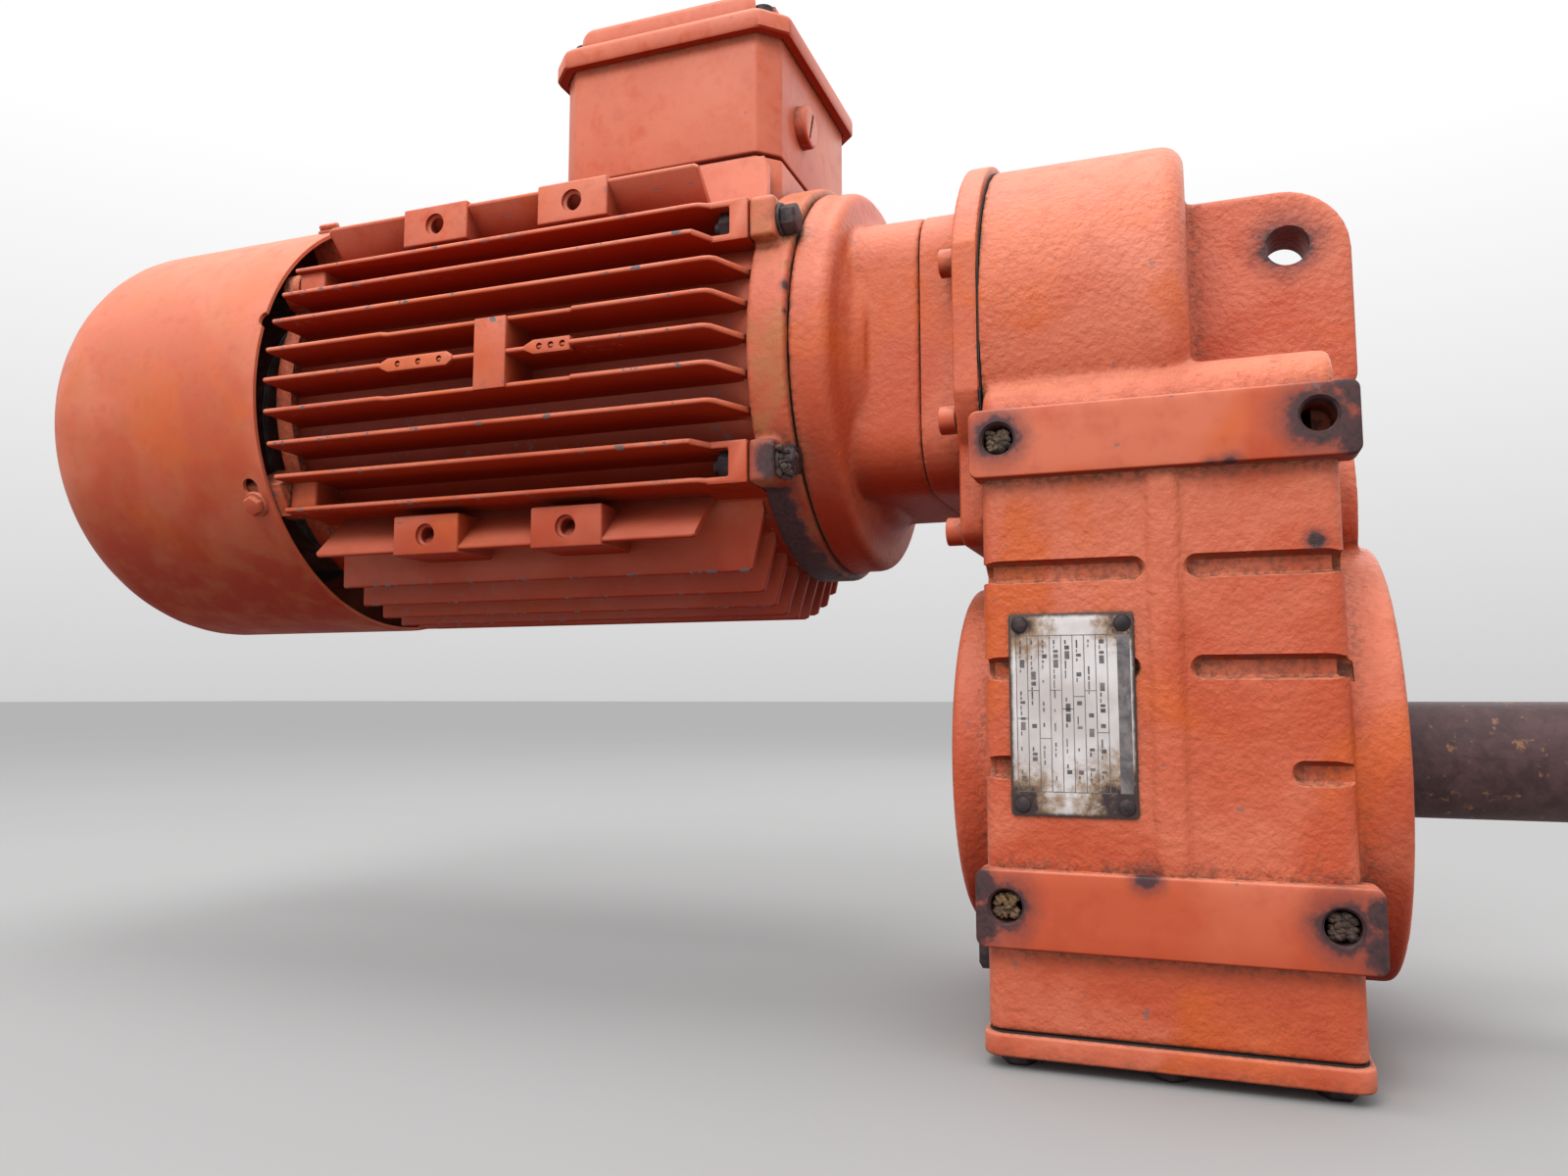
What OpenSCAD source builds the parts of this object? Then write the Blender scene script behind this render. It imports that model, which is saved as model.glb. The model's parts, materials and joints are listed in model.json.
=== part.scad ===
// Parallel-shaft gearmotor: two-stage gear unit with a finned brake motor on top.
// +X runs along the output shaft and +Z is up. The origin is the output shaft's axis at the output face.

/* [Gear train] */
// Module of the first gear pair
mod_1 = 1.5; // [1.5]
// Teeth on the pinion of the rotor shaft
z_pinion_1 = 17; // [17]
// Teeth on the wheel of the layshaft
z_wheel_1 = 67; // [66:1:68]
// Module of the second gear pair
mod_2 = 2.25; // [2.25]
// Teeth cut on the layshaft
z_pinion_2 = 17; // [17]
// Teeth on the wheel of the output
z_wheel_2 = 62; // [61:1:62]
// Gap left on each tooth flank at the pitch circle
tooth_gap = 0.1; // [0.08:0.01:0.2]

/* [Output] */
// Diameter of the output shaft
shaft_d = 40; // [36:1:42]
// Length of the output shaft past the output face
shaft_out = 86; // [70:1:90]
// Diameter of the output shaft inside the hollow shaft
seat_d = 39; // [38:0.1:39]
// Diameter of the hollow shaft at its bearings
hollow_d = 55; // [55]
// Radius of the output boss
flange_r = 74.7; // [74:0.1:76]
// Thickness of the output boss
flange_t = 15.6; // [15:0.1:17]
// Radius of the rear bearing boss
boss_r = 64.3; // [62:0.1:64.3]
// Thickness of the rear bearing boss
boss_t = 14.2; // [14:0.1:15]

/* [Housing] */
// Length of the housing body along the shaft
body_len = 108.9; // [108.9]
// Half of the housing body's width
body_half = 81; // [80.5:0.1:82]
// Depth of the housing body below the output axis
body_drop = 83; // [83:0.1:84]
// Height of the housing shoulder above the output axis
shoulder_z = 131; // [129:0.1:133]
// Radius of the round top that holds the first gear pair
crown_r = 76.7; // [76:0.1:78]
// Casting wall thickness
wall = 7; // [6.5:0.1:7.5]
// How far the foot straps stand out of the body
strap_t = 5; // [4:0.1:6]
// Radius of the torque-arm eye
eye_r = 7.5; // [6:0.1:8]

/* [Motor] */
// Radius over the cooling fins
fin_r = 97.5; // [96:0.1:98]
// Spacing of the cooling fins
fin_pitch = 13; // [12:0.1:13]
// Thickness of a cooling fin
fin_t = 2.8; // [2:0.1:3.2]
// Radius of the stator seat
stator_r = 72.5; // [72:0.1:73]
// Radius of the fan cover
cowl_r = 98; // [98:0.1:99]
// Sheet thickness of the fan cover
cowl_t = 1.8; // [1.5:0.1:2.5]

/* [Terminal box] */
// Length of the terminal box along the motor
box_len = 99; // [96:1:99]
// Half of the terminal box's width
box_half = 49.5; // [48:0.1:50]
// Height of the terminal box walls
box_h = 52; // [48:1:56]

/* [Hidden] */
$fn = 64;
axis_2 = mod_2 * (z_pinion_2 + z_wheel_2) / 2;
axis_1 = axis_2 + mod_1 * (z_pinion_1 + z_wheel_1) / 2;
fit = 0.02;

// Stations along the shaft
body_x1 = -flange_t;
body_x0 = body_x1 - body_len;
boss_x0 = body_x0 - boss_t;
cover_x1 = body_x0 - 0.5;
cover_x0 = cover_x1 - 9;
neck_x0 = -150;
disc_x1 = -178;
disc_x0 = -193;
shield_x0 = -208;
frame_x0 = -416;
rear_x0 = -424;
cowl_x1 = -421;
dome_x1 = -525;
cowl_x0 = -570;
core_x0 = -370;
core_x1 = -245;

// Straps, lug, pads and screws
strap_x = [-126.8, -10.5];
strap_z = [[92.7, 115.4], [-56.7, -32.4]];
strap_hole_x = [-117.3, -21.8];
strap_hole_z = [105.4, -43.9];
strap_hole_r = 5.1;
eye_x = -22.2;
eye_z = 186.2;
lug_half = 12;
lug_top = 207.6;
rim_screws = [for (x = [-116, -70, -24], s = [-1, 1]) [x, s * 72]];
cover_screws = [for (s = [-1, 1], p = [[63, 176], [66, 118], [56, 80]]) [s * p[0], p[1]]];
corner_y = 72;
corner_z = 45.5;
bolt_seat = -197.6;
pad_x = [-349, -284];
pad_z = 65;
pad_y = 77;
cowl_screw_angles = [30, 120, 210, 300];
box_x = -208.6 - box_len / 2;
box_z0 = 238;
box_z1 = box_z0 + box_h;
plug_y = -17.7;
plug_z = 262;
plug_r = 8.8;

// Ball bearings: [outer diameter, bore, width, ball diameter, number of balls]
out_brg = [90, 55, 18, 11, 12];
lay_brg = [47, 20, 14, 7.9, 8];
rot_brg = [62, 30, 16, 9.5, 9];
out_brg_x = [-18, -120.5];
lay_brg_x = [-31, -115.5];
rot_brg_x = [-410, -195, -135];

cast_paint = "#d9653c";
dark_steel = "#54484a";
steel = "#a9adb2";

// ---- Shared shapes ----

// Extrudes a drawing of the Y-Z plane from x0 to x1
module yz(x0, x1) {
  translate([x0, 0, 0]) rotate([90, 0, 90]) linear_extrude(x1 - x0) children();
}

// Extrudes a drawing of the X-Z plane from y0 to y1
module xz(y0, y1) {
  translate([0, y1, 0]) rotate([90, 0, 0]) linear_extrude(y1 - y0) children();
}

// A round bar along X
module rod(x0, x1, r) {
  translate([x0, 0, 0]) rotate([0, 90, 0]) cylinder(h = x1 - x0, r = r);
}

// A round tube along X
module tube(x0, x1, r_out, r_in) {
  difference() {
    rod(x0, x1, r_out);
    rod(x0 - 1, x1 + 1, r_in);
  }
}

// Turns a drawing of radius against X about the X axis
module turned() {
  rotate([0, 90, 0]) rotate_extrude($fn = 96) children();
}

// A hexagonal prism along X, with its flats af apart
module hex(x0, x1, af) {
  translate([x0, 0, 0]) rotate([0, 90, 0]) cylinder(h = x1 - x0, d = af / cos(30), $fn = 6);
}

module rounded_rect(w, h, r) {
  square([w - 2 * r, h], center = true);
  square([w, h - 2 * r], center = true);
  for (x = [-1, 1], y = [-1, 1]) translate([x * (w / 2 - r), y * (h / 2 - r)]) circle(r = r);
}

// A rectangle with its corners cut off at 45 degrees
module cut_rect(w, h, c) {
  polygon([[-w / 2 + c, -h / 2], [w / 2 - c, -h / 2], [w / 2, -h / 2 + c], [w / 2, h / 2 - c],
    [w / 2 - c, h / 2], [-w / 2 + c, h / 2], [-w / 2, h / 2 - c], [-w / 2, -h / 2 + c]]);
}

module block(lo, hi) {
  translate(lo) cube(hi - lo);
}

// Both sides of the Y = 0 plane
module both_sides() {
  children();
  mirror([0, 1, 0]) children();
}

// ---- Gears: straight involute teeth, 20 degree pressure angle ----

function inv(a) = tan(a) * 180 / PI - a;
function polar(r, a) = [r * cos(a), r * sin(a)];
function half_tooth(z, base, r, slack) = 90 / z + inv(20) - inv(acos(min(1, base / r))) - slack;
function gear_outline(m, z) =
  let (
    pitch = m * z / 2,
    base = pitch * cos(20),
    root = pitch - 1.25 * m,
    slack = tooth_gap / pitch * 180 / PI,
    flank = base > root ? [root, base, pitch, pitch + m] : [root, pitch, pitch + m],
    last = len(flank) - 1
  )
  [
    for (i = [0 : z - 1]) each concat(
      [for (r = flank) polar(r, i * 360 / z - half_tooth(z, base, r, slack))],
      [for (k = [last : -1 : 0]) polar(flank[k], i * 360 / z + half_tooth(z, base, flank[k], slack))]
    )
  ];

module gear_teeth(m, z, x0, x1, turn) {
  yz(x0, x1) rotate(turn) polygon(gear_outline(m, z));
}

// ---- Ball bearings ----

function ball_circle(b) = (b[0] + b[1]) / 4;

module outer_rings(b, stations) {
  for (x = stations) translate([x, 0, 0]) turned() difference() {
    translate([ball_circle(b) + 0.3 * b[3], -b[2] / 2]) square([b[0] / 2 - fit - ball_circle(b) - 0.3 * b[3], b[2]]);
    translate([ball_circle(b), 0]) circle(r = b[3] / 2 + 0.12);
  }
}

module inner_rings(b, stations) {
  for (x = stations) translate([x, 0, 0]) turned() difference() {
    translate([b[1] / 2 + fit, -b[2] / 2]) square([ball_circle(b) - 0.3 * b[3] - b[1] / 2 - fit, b[2]]);
    translate([ball_circle(b), 0]) circle(r = b[3] / 2 + 0.12);
  }
}

module balls(b, stations) {
  for (x = stations, i = [0 : b[4] - 1]) rotate([i * 360 / b[4], 0, 0]) translate([x, 0, ball_circle(b)]) {
    sphere(r = b[3] / 2);
  }
}

// ---- Gear housing ----

module housing_profile(inset) {
  half = body_half - inset;
  top = shoulder_z - inset;
  round_r = 20 - inset;
  translate([-half, -body_drop - 1]) square([2 * half, top - round_r + body_drop + 1]);
  translate([-half + round_r, -body_drop - 1]) square([2 * (half - round_r), top + body_drop + 1]);
  for (s = [-1, 1]) translate([s * (half - round_r), top - round_r]) circle(r = round_r);
}

module lug_profile() {
  corner = 24;
  translate([-70, 120]) square([44.5, lug_top - 120]);
  translate([-70, 136]) square([69, lug_top - corner - 136]);
  translate([-1 - corner, lug_top - corner]) circle(r = corner);
  translate([-70, 120]) polygon([[0, 0], [54, 0], [54, 8], [61, 8], [69, 16], [69, 20], [0, 20]]);
}

// Slot of half-round section ends, from x0 to x1 at height z, cut into the front face
module face_groove(x0, x1, z) {
  block([x0, -body_half - 1, z - 3], [x1, -body_half + 3, z + 3]);
}

// Round bars along Y behind the front face, at the tapped holes of the straps
module strap_bars(y0, y1, r) {
  for (x = strap_hole_x, z = strap_hole_z) xz(y0, y1) translate([x, z]) circle(r = r);
}

module front_details() {
  for (z = strap_z) block([strap_x[0], -body_half - strap_t, z[0]], [strap_x[1], -body_half + wall, z[1]]);
  block([-71.6, -body_half - 2.5, -33], [-62.6, -body_half + 1, 93]);
}

module front_cuts() {
  face_groove(body_x0 - 1, -73, 61.9);
  face_groove(-61, body_x1 + 1, 61.9);
  face_groove(body_x0 - 1, -75, 30.6);
  face_groove(-60, body_x1 + 1, 30.6);
  face_groove(body_x0 - 1, -90, -1);
  face_groove(-33, body_x1 + 1, -1);
}

module gear_housing() {
  color(cast_paint) difference() {
    union() {
      intersection() {
        yz(body_x0, body_x1) housing_profile(0);
        block([body_x0, -100, -body_drop], [body_x1, 100, 200]);
      }
      translate([0, 0, axis_1]) turned() {
        translate([0, body_x0]) square([crown_r, -57 - 8 - body_x0]);
        translate([0, body_x0]) square([crown_r - 8, -57 - body_x0]);
        translate([crown_r - 8, -65]) circle(r = 8);
      }
      rod(body_x1 - 20, 0, flange_r);
      rod(boss_x0, body_x0 + 20, boss_r);
      translate([0, 0, axis_2]) rod(body_x1 - 1, -5.5, 30);
      xz(-lug_half, lug_half) lug_profile();
      both_sides() front_details();
      for (p = rim_screws) translate([p[0], p[1], -body_drop]) cylinder(h = 24, r = 8);
    }
    // Room for the gears, open at the bottom
    difference() {
      union() {
        yz(body_x0 + wall + 0.5, body_x1 - wall) housing_profile(wall);
        translate([0, 0, axis_1]) rod(body_x0 + wall + 0.5, -65, crown_r - wall - 0.7);
      }
      rod(-32, body_x1, 52);
      rod(body_x0, -111, 52);
      translate([0, 0, axis_2]) rod(-39, body_x1, 29);
      translate([0, 0, axis_2]) rod(body_x0, -108.3, 28);
      for (p = rim_screws) translate([p[0], p[1], -body_drop]) cylinder(h = 24, r = 8);
      strap_bars(-body_half, -64, 9);
    }
    strap_bars(-body_half - strap_t - 1, -68, strap_hole_r);
    // Bearing seats
    rod(-60, 1, out_brg[0] / 2);
    rod(boss_x0 - 1, -100, out_brg[0] / 2);
    translate([0, 0, axis_2]) rod(-45, -23.5, lay_brg[0] / 2);
    translate([0, 0, axis_2]) rod(body_x0 - 1, -100, lay_brg[0] / 2);
    translate([0, 0, axis_1]) rod(body_x0 - 1, body_x0 + 10, 34);
    // Threaded holes
    for (i = [0 : 5]) rotate([i * 60 + 30, 0, 0]) translate([0, 0, 60]) rod(-14, 1, 4.25);
    for (p = rim_screws) translate([p[0], p[1], -body_drop - 1]) cylinder(h = 19, r = 3);
    for (p = cover_screws) translate([0, p[0], p[1]]) rod(body_x0 - 1, body_x0 + 9, 3);
    translate([0, -44, -66]) rod(body_x0 - 1, body_x0 + 9, 6);
    translate([0, 56, 92]) rod(body_x1 - 9, body_x1 + 1, 6);
    // Torque-arm eye
    translate([eye_x, lug_half + 1, eye_z]) rotate([90, 0, 0]) cylinder(h = 2 * lug_half + 2, r = eye_r);
    both_sides() front_cuts();
    // Nameplate rivets
    for (x = [-111.9, -80.1], z = [-12.4, 44.7]) translate([x, -body_half + 5, z]) rotate([90, 0, 0]) {
      cylinder(h = 8, r = 1.6);
    }
  }
}

module bottom_outline(grow) {
  translate([(body_x0 + body_x1) / 2, 0]) rounded_rect(body_len + 2 * grow, 2 * body_half + 2 * grow, 6);
}

module bottom_cover() {
  color(cast_paint) difference() {
    translate([0, 0, -body_drop - 7.5]) linear_extrude(7) bottom_outline(1.5);
    for (p = rim_screws) translate([p[0], p[1], -body_drop - 9]) cylinder(h = 10, r = 3.3);
  }
}

module bottom_cover_gasket() {
  color("#3a2b28") translate([0, 0, -body_drop - 0.48]) linear_extrude(0.46) difference() {
    bottom_outline(0);
    translate([(body_x0 + body_x1) / 2, 0]) square([body_len - 15, 2 * body_half - 34], center = true);
    for (p = rim_screws) translate([p[0], p[1]]) circle(r = 3.3);
  }
}

module bottom_cover_screws() {
  color(dark_steel) for (p = rim_screws) translate([p[0], p[1], -body_drop - 7.5]) {
    translate([0, 0, -4]) cylinder(h = 4, d = 10 / cos(30), $fn = 6);
    translate([0, 0, -1]) cylinder(h = 24, r = 2.95);
  }
}

module input_outline() {
  translate([0, axis_1]) intersection() {
    circle(r = crown_r + 2.8);
    square([150, 200], center = true);
  }
  translate([0, 110]) rounded_rect(132, 72, 8);
  translate([0, axis_2]) circle(r = 24.2);
}

module input_cover() {
  color(cast_paint) difference() {
    union() {
      yz(cover_x0, cover_x1) input_outline();
      yz(neck_x0, cover_x0 + 1) translate([0, axis_1]) rounded_rect(108, 108, 22);
    }
    translate([0, 0, axis_1]) {
      rod(neck_x0 - 1, -127, rot_brg[0] / 2);
      rod(-128, cover_x1 + 1, 25);
      for (y = [-42, 42], z = [-42, 42]) translate([0, y, z]) rod(neck_x0 - 1, neck_x0 + 14, 4);
    }
    for (p = cover_screws) translate([0, p[0], p[1]]) rod(cover_x0 - 8, cover_x1 + 1, 3.3);
    for (p = cover_screws) translate([0, p[0], p[1]]) rod(cover_x0 - 8, cover_x0, 5.6);
  }
}

module input_cover_gasket() {
  color("#2e2422") difference() {
    yz(cover_x1 + 0.02, body_x0 - 0.02) intersection() {
      input_outline();
      union() {
        housing_profile(0);
        translate([0, axis_1]) circle(r = crown_r);
      }
    }
    translate([0, 0, axis_1]) rod(cover_x1 - 1, body_x0 + 1, 34);
    translate([0, 0, axis_2]) rod(cover_x1 - 1, body_x0 + 1, 22);
    for (p = cover_screws) translate([0, p[0], p[1]]) rod(cover_x1 - 1, body_x0 + 1, 3.3);
  }
}

module input_cover_screws() {
  color(dark_steel) for (p = cover_screws) translate([0, p[0], p[1]]) difference() {
    union() {
      rod(cover_x0 - 6, cover_x0, 5);
      rod(cover_x0 - 1, body_x0 + 8, 2.95);
    }
    hex(cover_x0 - 7, cover_x0 - 3, 5);
  }
}

module oil_plug(x, way) {
  rod(min(x, x + way * 4), max(x, x + way * 4), 9);
  hex(min(x, x + way * 8), max(x, x + way * 8), 12);
  rod(min(x, x - way * 7), max(x, x - way * 7), 5.95);
}

module oil_plugs() {
  color(dark_steel) {
    translate([0, -44, -66]) oil_plug(body_x0, -1);
    translate([0, 56, 92]) oil_plug(body_x1, 1);
  }
}

module output_seals() {
  color("#222020") {
    tube(-8.6, -0.4, out_brg[0] / 2 - fit, hollow_d / 2 + 0.05);
    tube(boss_x0 + 0.4, -130, out_brg[0] / 2 - fit, hollow_d / 2 + 0.05);
  }
}

module output_bearing_outer_rings() {
  color(steel) outer_rings(out_brg, out_brg_x);
}

module layshaft_bearing_outer_rings() {
  color(steel) translate([0, 0, axis_2]) outer_rings(lay_brg, lay_brg_x);
}

module rotor_bearing_outer_rings() {
  color(steel) translate([0, 0, axis_1]) outer_rings(rot_brg, rot_brg_x);
}

module input_seal() {
  color("#222020") translate([0, 0, axis_1]) tube(neck_x0 + 0.2, -143.3, rot_brg[0] / 2 - fit, 15.05);
}

// ---- Adapter and end shields ----

module adapter_flange() {
  color(cast_paint) translate([0, 0, axis_1]) difference() {
    union() {
      turned() {
        translate([0, disc_x0]) square([78.7, 12]);
        translate([0, disc_x0]) square([74.7, 16]);
        translate([74.7, disc_x0 + 12]) circle(r = 4);
        polygon([[0, disc_x1], [66, disc_x1], [60, disc_x1 + 2], [57, disc_x1 + 6], [0, disc_x1 + 6]]);
      }
      yz(disc_x1 - 3, neck_x0 - 0.02) rounded_rect(108, 108, 22);
    }
    rod(disc_x0 - 1, -162, 44);
    rod(-163, neck_x0 + 1, 30);
    for (y = [-42, 42], z = [-42, 42]) translate([0, y, z]) {
      rod(disc_x0 - 1, neck_x0 + 1, 4.4);
      rod(disc_x0 - 1, -166, 7.5);
    }
    for (y = [-54, 54]) translate([0, y, 0]) rod(disc_x0 - 1, disc_x0 + 12, 4);
  }
}

module adapter_screws() {
  color(dark_steel) translate([0, 0, axis_1]) {
    for (y = [-42, 42], z = [-42, 42]) translate([0, y, z]) {
      rod(-174, -166, 6.5);
      rod(-166, neck_x0 + 12, 3.95);
    }
    for (y = [-54, 54]) translate([0, y, 0]) {
      rod(-211, -205.2, 6.5);
      rod(-206, disc_x0 + 11, 3.95);
    }
  }
}

module shield_bosses(x0, x1, r) {
  for (y = [-corner_y, corner_y], z = [-corner_z, corner_z]) translate([0, y, z]) rod(x0, x1, r);
}

module shield_blocks(x0, x1) {
  both_sides() for (z = [-corner_z, corner_z]) block([x0, -79, z - 8.3], [x1, -58, z + 8.3]);
}

module drive_end_shield() {
  color(cast_paint) translate([0, 0, axis_1]) difference() {
    union() {
      rod(shield_x0, disc_x0, 81.5);
      rod(shield_x0 - 4, shield_x0 + 1, stator_r - fit);
      shield_blocks(shield_x0, bolt_seat);
    }
    rod(shield_x0 - 5, -205, 68);
    rod(-206, -186, rot_brg[0] / 2);
    difference() {
      rod(-206, -199, 66);
      rod(-207, -186, 40);
      for (y = [-54, 54]) translate([0, y, 0]) rod(-207, -186, 11);
      translate([-206, -70, -4]) cube([20, 140, 8]);
      translate([-206, -4, -70]) cube([20, 8, 140]);
    }
    shield_bosses(shield_x0 - 1, disc_x0 + 2, 3.3);
    shield_bosses(bolt_seat, disc_x0 + 2, 6.6);
    for (y = [-54, 54]) translate([0, y, 0]) rod(shield_x0, disc_x0 + 1, 4.3);
  }
}

// Bolts at both ends of the motor frame
module shield_bolts() {
  color(dark_steel) translate([0, 0, axis_1]) for (y = [-corner_y, corner_y], z = [-corner_z, corner_z]) {
    translate([0, y, z]) {
      hex(bolt_seat, bolt_seat + 5, 10);
      rod(-223, bolt_seat + 1, 2.95);
      rod(rear_x0, rear_x0 + 4, 5);
      rod(rear_x0 + 3, frame_x0 + 11, 2.95);
    }
  }
}

module shield_nuts() {
  color(dark_steel) translate([0, 0, axis_1]) for (y = [-corner_y, corner_y], z = [-corner_z, corner_z]) {
    translate([0, y, z]) difference() {
      rotate([30, 0, 0]) hex(-220.5, -216, 10);
      rod(-222, -212, 3);
    }
  }
}

// ---- Motor frame ----

// Horizontal fin on the front side, dz above the motor axis
module side_fin(dz, tip_r, x0, x1) {
  tip = sqrt(tip_r * tip_r - dz * dz);
  translate([0, 0, dz - fin_t / 2]) linear_extrude(fin_t) {
    polygon([[x0, -tip], [x1 - 4, -tip], [x1, -tip + 4], [x1, -40], [x0, -40]]);
  }
}

// Vertical fin under the frame, dy beside the motor axis
module low_fin(dy) {
  tip = sqrt(fin_r * fin_r - dy * dy);
  xz(dy - fin_t / 2, dy + fin_t / 2) {
    polygon([[frame_x0, -tip], [shield_x0 - 8, -tip], [shield_x0 - 2, -tip + 12], [shield_x0 - 2, -50],
      [frame_x0, -50]]);
  }
}

module frame_fins() {
  both_sides() {
    for (i = [-4 : 4]) side_fin(i * fin_pitch, fin_r, frame_x0, shield_x0);
    for (s = [-1, 1]) rotate([s * 43.3, 0, 0]) block([-405, -104.3, -1.6], [-230, -72, 1.6]);
    block([-316.8, -fin_r + 0.5, -fin_pitch], [-295.4, -60, fin_pitch]);
    for (x = [[-358, -327], [-291, -273]]) block([x[0], -fin_r + 0.6, -2.4], [x[1], -fin_r + 4, 2.4]);
    for (x = pad_x, s = [-1, 1]) {
      block([x - 15.7, -pad_y, s * pad_z - 8.2], [x + 15.7, -52, s * pad_z + 8.2]);
    }
  }
  for (i = [-4 : 4]) {
    low_fin(i * fin_pitch);
    mirror([0, 0, 1]) low_fin(i * fin_pitch);
  }
}

module frame_lugs() {
  for (y = [-1, 1], z = [-corner_z, corner_z], x = [frame_x0 + 0.02, shield_x0 - 13.5]) {
    lo = min(y * 60, y * 80);
    block([x, lo, z - 8], [x + 13.5, lo + 20, z + 8]);
  }
}

module motor_frame() {
  color(cast_paint) translate([0, 0, axis_1]) difference() {
    union() {
      rod(frame_x0, shield_x0 - 0.02, 78);
      frame_fins();
      frame_lugs();
      // Pedestal under the terminal box
      translate([box_x, 0, 0]) linear_extrude(box_z0 - 1 - axis_1) cut_rect(box_len, 2 * box_half, 8);
      translate([box_x, 0, 0]) linear_extrude(box_z0 - 0.02 - axis_1) cut_rect(box_len - 3, 2 * box_half - 3, 7);
    }
    rod(frame_x0 - 1, shield_x0 + 1, stator_r);
    block([box_x - box_len / 2 - 1, -box_half - 1, box_z0 - 0.02 - axis_1], [shield_x0 + 1, box_half + 1, 120]);
    // Room for the terminal leads
    translate([box_x, 0, 60]) cylinder(h = 60, r = 16);
    for (p = [-30, 30], q = [-30, 30]) translate([box_x + p, q, box_z0 - axis_1 - 12]) cylinder(h = 20, r = 2.5);
    // Windows for the nuts, and the bolt holes
    for (y = [-1, 1], z = [-corner_z, corner_z]) {
      translate([-219.5, y * 77, z]) cube([8.4, 24, 10.4], center = true);
      translate([0, y * corner_y, z]) rod(-224, shield_x0 + 1, 3.3);
      translate([0, y * corner_y, z]) rod(frame_x0 - 1, frame_x0 + 12, 3);
    }
    both_sides() {
      for (x = pad_x, s = [-1, 1]) translate([x, -pad_y - 1, s * pad_z]) rotate([-90, 0, 0]) {
        cylinder(h = 3, r = 4.6);
        cylinder(h = 17, r = 3.4);
      }
      for (x = [-352, -342.5, -333, -287, -282, -277]) translate([x, -fin_r - 1, 0]) rotate([-90, 0, 0]) {
        cylinder(h = 7, r = 1.1);
      }
    }
  }
}

stator_slots = 24;

module slot_shape(gap) {
  for (i = [0 : stator_slots - 1]) rotate(i * 360 / stator_slots) translate([49 + gap, -2.6 + gap]) {
    square([13 - 2 * gap, 5.2 - 2 * gap]);
  }
}

module stator_core() {
  color("#5b5f66") translate([0, 0, axis_1]) yz(core_x0, core_x1) difference() {
    circle(r = stator_r - fit);
    circle(r = 47);
    slot_shape(0);
    for (i = [0 : stator_slots - 1]) rotate(i * 360 / stator_slots) translate([46, -1]) square([4, 2]);
  }
}

module stator_windings() {
  color("#a8662c") translate([0, 0, axis_1]) {
    yz(core_x0 - 2, core_x1 + 2) slot_shape(0.15);
    for (x = [core_x0 - 1 - 12, core_x1 + 1 + 12]) translate([x, 0, 0]) turned() {
      translate([59, 0]) {
        square([14, 24], center = true);
        square([18, 18], center = true);
        for (r = [-7, 7], z = [-9, 9]) translate([r, z]) circle(r = 3);
      }
    }
  }
}

module rear_end_shield() {
  color(cast_paint) translate([0, 0, axis_1]) difference() {
    union() {
      rod(rear_x0, frame_x0 - 0.02, 82);
      rod(frame_x0 - 1, frame_x0 + 5, stator_r - fit);
      rod(rear_x0, -400, 38);
      shield_bosses(rear_x0, frame_x0 - 0.02, 8.5);
      for (a = cowl_screw_angles) rotate([a, 0, 0]) block([rear_x0 - 12, -95.6, -7], [frame_x0 - 0.02, -70, 7]);
    }
    rod(-418, -399, rot_brg[0] / 2);
    rod(rear_x0 - 1, -399, 17);
    difference() {
      rod(-418, frame_x0 + 6, 66);
      rod(-419, frame_x0 + 7, 38);
    }
    shield_bosses(rear_x0 - 1, frame_x0 + 1, 3.3);
    shield_bosses(rear_x0 - 13, rear_x0 + 4.02, 5.4);
    rod(rear_x0 - 13, rear_x0, 74);
    for (a = cowl_screw_angles) rotate([a, 0, 0]) translate([rear_x0 - 5, -97, 0]) rotate([-90, 0, 0]) {
      cylinder(h = 5.4, r = 2.5);
    }
    for (i = [0 : 2]) rotate([i * 120, 0, 0]) translate([0, 0, 56]) rod(rear_x0 - 1, rear_x0 + 6, 3);
  }
}

// ---- Brake ----

disc_gap = 0.03;
friction_x0 = rear_x0 - 3;
brake_disc_x0 = friction_x0 - 10;
armature_x0 = brake_disc_x0 - 10;
armature_travel = 0.4;
magnet_x1 = armature_x0 - armature_travel - 0.05;
magnet_x0 = magnet_x1 - 40;

module brake_friction_plate() {
  color(steel) translate([0, 0, axis_1]) difference() {
    rod(friction_x0, rear_x0 - 0.02, 65);
    rod(friction_x0 - 1, rear_x0 + 1, 22);
    for (i = [0 : 2]) rotate([i * 120, 0, 0]) translate([0, 0, 56]) rod(friction_x0 - 1, rear_x0 + 1, 3.2);
  }
}

module spline_outline(grow) {
  rounded_rect(32 + 2 * grow, 18 + 2 * grow, 3);
  rounded_rect(18 + 2 * grow, 32 + 2 * grow, 3);
}

module brake_hub() {
  color(steel) translate([0, 0, axis_1]) difference() {
    yz(brake_disc_x0 - 4, brake_disc_x0 + 10) spline_outline(0);
    rod(brake_disc_x0 - 5, brake_disc_x0 + 11, 12 + fit);
  }
}

module brake_disc() {
  color("#4a3b30") translate([0, 0, axis_1]) difference() {
    rod(brake_disc_x0 + disc_gap, friction_x0 - disc_gap, 50);
    yz(brake_disc_x0 - 1, friction_x0 + 1) spline_outline(0.1);
  }
}

module brake_armature() {
  color(steel) translate([0, 0, axis_1]) difference() {
    rod(armature_x0, brake_disc_x0, 65);
    rod(armature_x0 - 1, brake_disc_x0 + 1, 24);
    for (i = [0 : 2]) rotate([i * 120, 0, 0]) translate([0, 0, 56]) rod(armature_x0 - 1, brake_disc_x0 + 1, 5.3);
  }
}

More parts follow.
